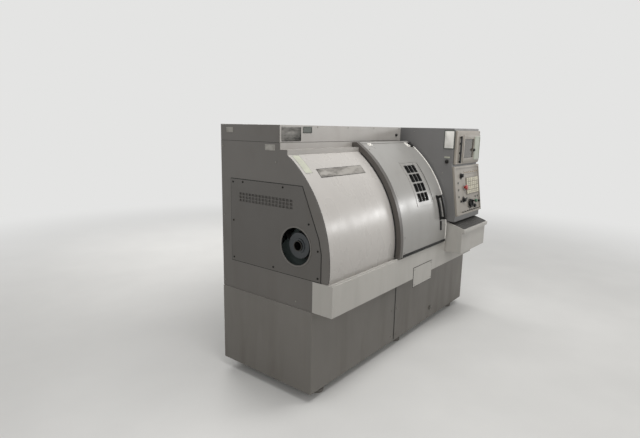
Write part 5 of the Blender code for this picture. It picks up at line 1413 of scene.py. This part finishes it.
class FitSwitchgear(bpy.types.Operator):
    """Fill the rear cabinet with its mounting plate, ducts, drives, contactors and terminals"""

    bl_idname = "lathe.fit_switchgear"
    bl_label = "Fit switchgear"

    def execute(self, context):
        fit_plate("mounting_plate", "machine", on_back(1.450, MOUNTING_Y, 0.925),
                  (1.220, 1.200, 0.0030), 0.012, 0.0015, ("drawn_cover_steel", "bright_steel"),
                  0.010, 0.0008)
        spacer = stepped_blank("spacer", 0.011, 0.0140, 16, 0.003, 0.0006, 0.0008)
        places = [on_back(x, MOUNTING_Y - 0.0135, z) for x in (0.870, 1.450, 2.030)
                  for z in (0.350, 0.925, 1.500)]
        dress(copies_of("mounting_spacers", spacer, places), "machine", *ZINC)
        # The devices stand on the plate's raised face
        face = MOUNTING_Y + 0.0044
        duct = box_blank("duct", (-0.570, -0.022, 0), (0.570, 0.022, 0.060), True)
        press(duct, upwards, 0.0025, -0.0015)
        round_off(duct, 0.0012)
        dress(copies_of("wiring_ducts", duct,
                        [on_back(1.450, face, z) for z in (1.470, 1.100, 0.860, 0.470)]),
              "machine", "grey_plastic", "dark_paint", 40)
        # Rows of like devices: how many, first X, step, height, size, finish and slot
        for name, count, x, step, z, (wide, tall, deep), *look in (
                ("axis_drives", 4, 0.960, 0.120, 1.285, (0.100, 0.270, 0.180),
                 "panel_enamel", "cream"),
                ("power_supply", 1, 1.640, 0.0, 1.285, (0.300, 0.230, 0.140),
                 "drawn_cover_steel", "bright_steel"),
                ("contactors", 12, 0.930, 0.062, 0.980, (0.050, 0.085, 0.095), *BLACK),
                ("breakers", 10, 1.720, 0.026, 0.980, (0.022, 0.090, 0.070),
                 "grey_plastic", "dark_paint"),
                ("relay_rack", 2, 1.100, 0.330, 0.660, (0.300, 0.220, 0.110),
                 "display_enamel", "cream"),
                ("transformer", 1, 1.820, 0.0, 0.640, (0.220, 0.180, 0.150),
                 "motor_enamel", "dark_paint"),
                ("terminals", 60, 0.960, 0.0164, 0.390, (0.0150, 0.050, 0.045),
                 "grey_plastic", "dark_paint")):
            unit = box_blank(name, (-wide / 2, -tall / 2, 0), (wide / 2, tall / 2, deep), True)
            press(unit, upwards, wide * 0.10, -deep * 0.04)
            press(unit, lambda middle, normal: normal.z > 0.9 and middle.z < deep * 0.98,
                  wide * 0.14, deep * 0.09)
            # The terminals are many and small, so their edges stay sharp to save faces
            if name != "terminals":
                round_off(unit, wide * 0.03)
            places = [on_back(x + step * i, face, z) for i in range(count)]
            dress(copies_of(name, unit, places), "machine", *look, 40)
        return {"FINISHED"}


class TrimRear(bpy.types.Operator):
    """Add the screws of the rear cover and cap, and the right end's louvres and screws"""

    bl_idname = "lathe.trim_rear"
    bl_label = "Trim rear"

    def execute(self, context):
        screws("rear_cover_screws", "machine",
               [on_back(x, HOUSING_BACK, z) for x in (0.040, 0.380, 0.715)
                for z in (0.640, 1.110, 1.570)])
        screws("cap_rear_screws", "machine",
               [on_back(x, HOUSING_BACK, 1.650) for x in (0.060, 0.500, 0.940, 1.400)])
        louvre_bank("right_end_louvres", "machine", on_right(RIGHT_END_X, 0.640, 0.760),
                    "base_enamel", "base_paint")
        screws("right_end_screws", "machine",
               [on_right(RIGHT_END_X, y, z) for y in (0.370, 0.890) for z in (0.630, 1.060)])
        return {"FINISHED"}


class SetStage(bpy.types.Operator):
    """Set the floor, the plain background, the lamps and the camera"""

    bl_idname = "lathe.set_stage"
    bl_label = "Set stage"

    def execute(self, context):
        scene = context.scene
        poured_floor("pale_floor", "#DAD9D6", BACKGROUND, FADE_NEAR, FADE_FAR)
        only()
        bpy.ops.mesh.primitive_circle_add(vertices=96, radius=30, fill_type="NGON")
        floor = context.object
        floor.name = "studio_floor"
        floor.data.materials.append(bpy.data.materials["pale_floor"])

        world = bpy.data.worlds.new("studio")
        scene.world = world
        world.use_nodes = True
        tree = world.node_tree
        lit = tree.nodes["Background"]
        lit.inputs["Color"].default_value = (1, 1, 1, 1)
        lit.inputs["Strength"].default_value = SKY_STRENGTH
        shown = add_node(tree, "Background", {"Color": tone(linear(BACKGROUND)), "Strength": 1.0})
        camera_ray = add_node(tree, "LightPath", output=0)
        glossy_ray = add_node(tree, "LightPath", output=3)
        clear_ray = add_node(tree, "LightPath", output=6)
        seen = add_node(tree, "Math", {0: camera_ray, 1: glossy_ray}, operation="MAXIMUM")
        seen = add_node(tree, "Math", {0: seen, 1: clear_ray}, operation="MAXIMUM")
        both = add_node(tree, "MixShader", {0: seen, 1: lit.outputs[0], 2: shown})
        tree.links.new(both, tree.nodes["World Output"].inputs["Surface"])

        # Soft boxes over the front, in front at the left, behind, and a narrow one at the right
        for name, place, aim, size, power in (
                ("over_front", (-0.5, -1.5, 4.1), (0, -0.3, 1.1), (3.2, 1.2), 92),
                ("front_left", (-4.8, -3.0, 2.6), (-0.6, -0.2, 1.0), (2.6, 2.0), 50),
                ("rear_fill", (1.5, 4.6, 3.2), (0, 0.4, 1.0), (3.0, 2.0), 110),
                ("right_front", (6.1, -4.6, 2.4), (-0.4, -0.4, 1.13), (3.4, 0.45), 85)):
            lamp = bpy.data.lights.new(name, "AREA")
            lamp.shape = "RECTANGLE"
            lamp.size, lamp.size_y = size
            lamp.energy = power
            holder = bpy.data.objects.new(name, lamp)
            scene.collection.objects.link(holder)
            holder.location = place
            look = Vector(aim) - Vector(place)
            holder.rotation_euler = look.to_track_quat("-Z", "Y").to_euler()

        level = math.cos(CAMERA_DIP)
        forward = Vector((math.cos(CAMERA_HEADING) * level, math.sin(CAMERA_HEADING) * level,
                          -math.sin(CAMERA_DIP)))
        right = forward.cross(Vector((0, 0, 1))).normalized()
        up = right.cross(forward)
        across = right * math.cos(CAMERA_ROLL) + up * math.sin(CAMERA_ROLL)
        upward = up * math.cos(CAMERA_ROLL) - right * math.sin(CAMERA_ROLL)
        lens = bpy.data.cameras.new("camera")
        lens.lens = CAMERA_LENS
        lens.sensor_width = 36
        lens.clip_start = 0.05
        camera = bpy.data.objects.new("camera", lens)
        scene.collection.objects.link(camera)
        turn = Matrix((across, upward, -forward)).transposed().to_4x4()
        camera.matrix_world = Matrix.Translation(CAMERA_PLACE) @ turn
        scene.camera = camera
        scene.view_settings.view_transform = "Standard"
        return {"FINISHED"}


STEPS = (SetStage, MixFinishes, FoldSheets, FinishWorks, FinishControls, TrimDoor, TrimHeader,
         TrimFrontShell, TrimLeftEnd, TrimBase, FitDisplay, FitPanel, FitConsoleSides, DressTray,
         FitWorks, FitCabinet, FitSwitchgear, TrimRear)


class LathePanel(bpy.types.Panel):
    """The lathe's steps, sizes and colours in the sidebar"""

    bl_idname = "VIEW3D_PT_lathe"
    bl_label = "Lathe"
    bl_space_type = "VIEW_3D"
    bl_region_type = "UI"
    bl_category = "Lathe"

    def draw(self, context):
        for step in STEPS:
            self.layout.operator(step.bl_idname)
        for group in (context.scene.lathe_sizes, context.scene.lathe_colours):
            for name in group.bl_rna.properties.keys():
                if name not in ("rna_type", "name"):
                    self.layout.prop(group, name)


CLASSES = (LatheSizes, LatheColours, *STEPS, LathePanel)


def register():
    """Register the classes and hang the sizes and colours on the scene."""
    for item in CLASSES:
        bpy.utils.register_class(item)
    bpy.types.Scene.lathe_sizes = PointerProperty(type=LatheSizes)
    bpy.types.Scene.lathe_colours = PointerProperty(type=LatheColours)


def unregister():
    """Take the sizes, the colours and the classes away again."""
    del bpy.types.Scene.lathe_colours
    del bpy.types.Scene.lathe_sizes
    for item in reversed(CLASSES):
        bpy.utils.unregister_class(item)


def main():
    """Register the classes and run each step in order."""
    register()
    for step in STEPS:
        family, name = step.bl_idname.split(".")
        getattr(getattr(bpy.ops, family), name)()


if __name__ == "__main__":
    main()
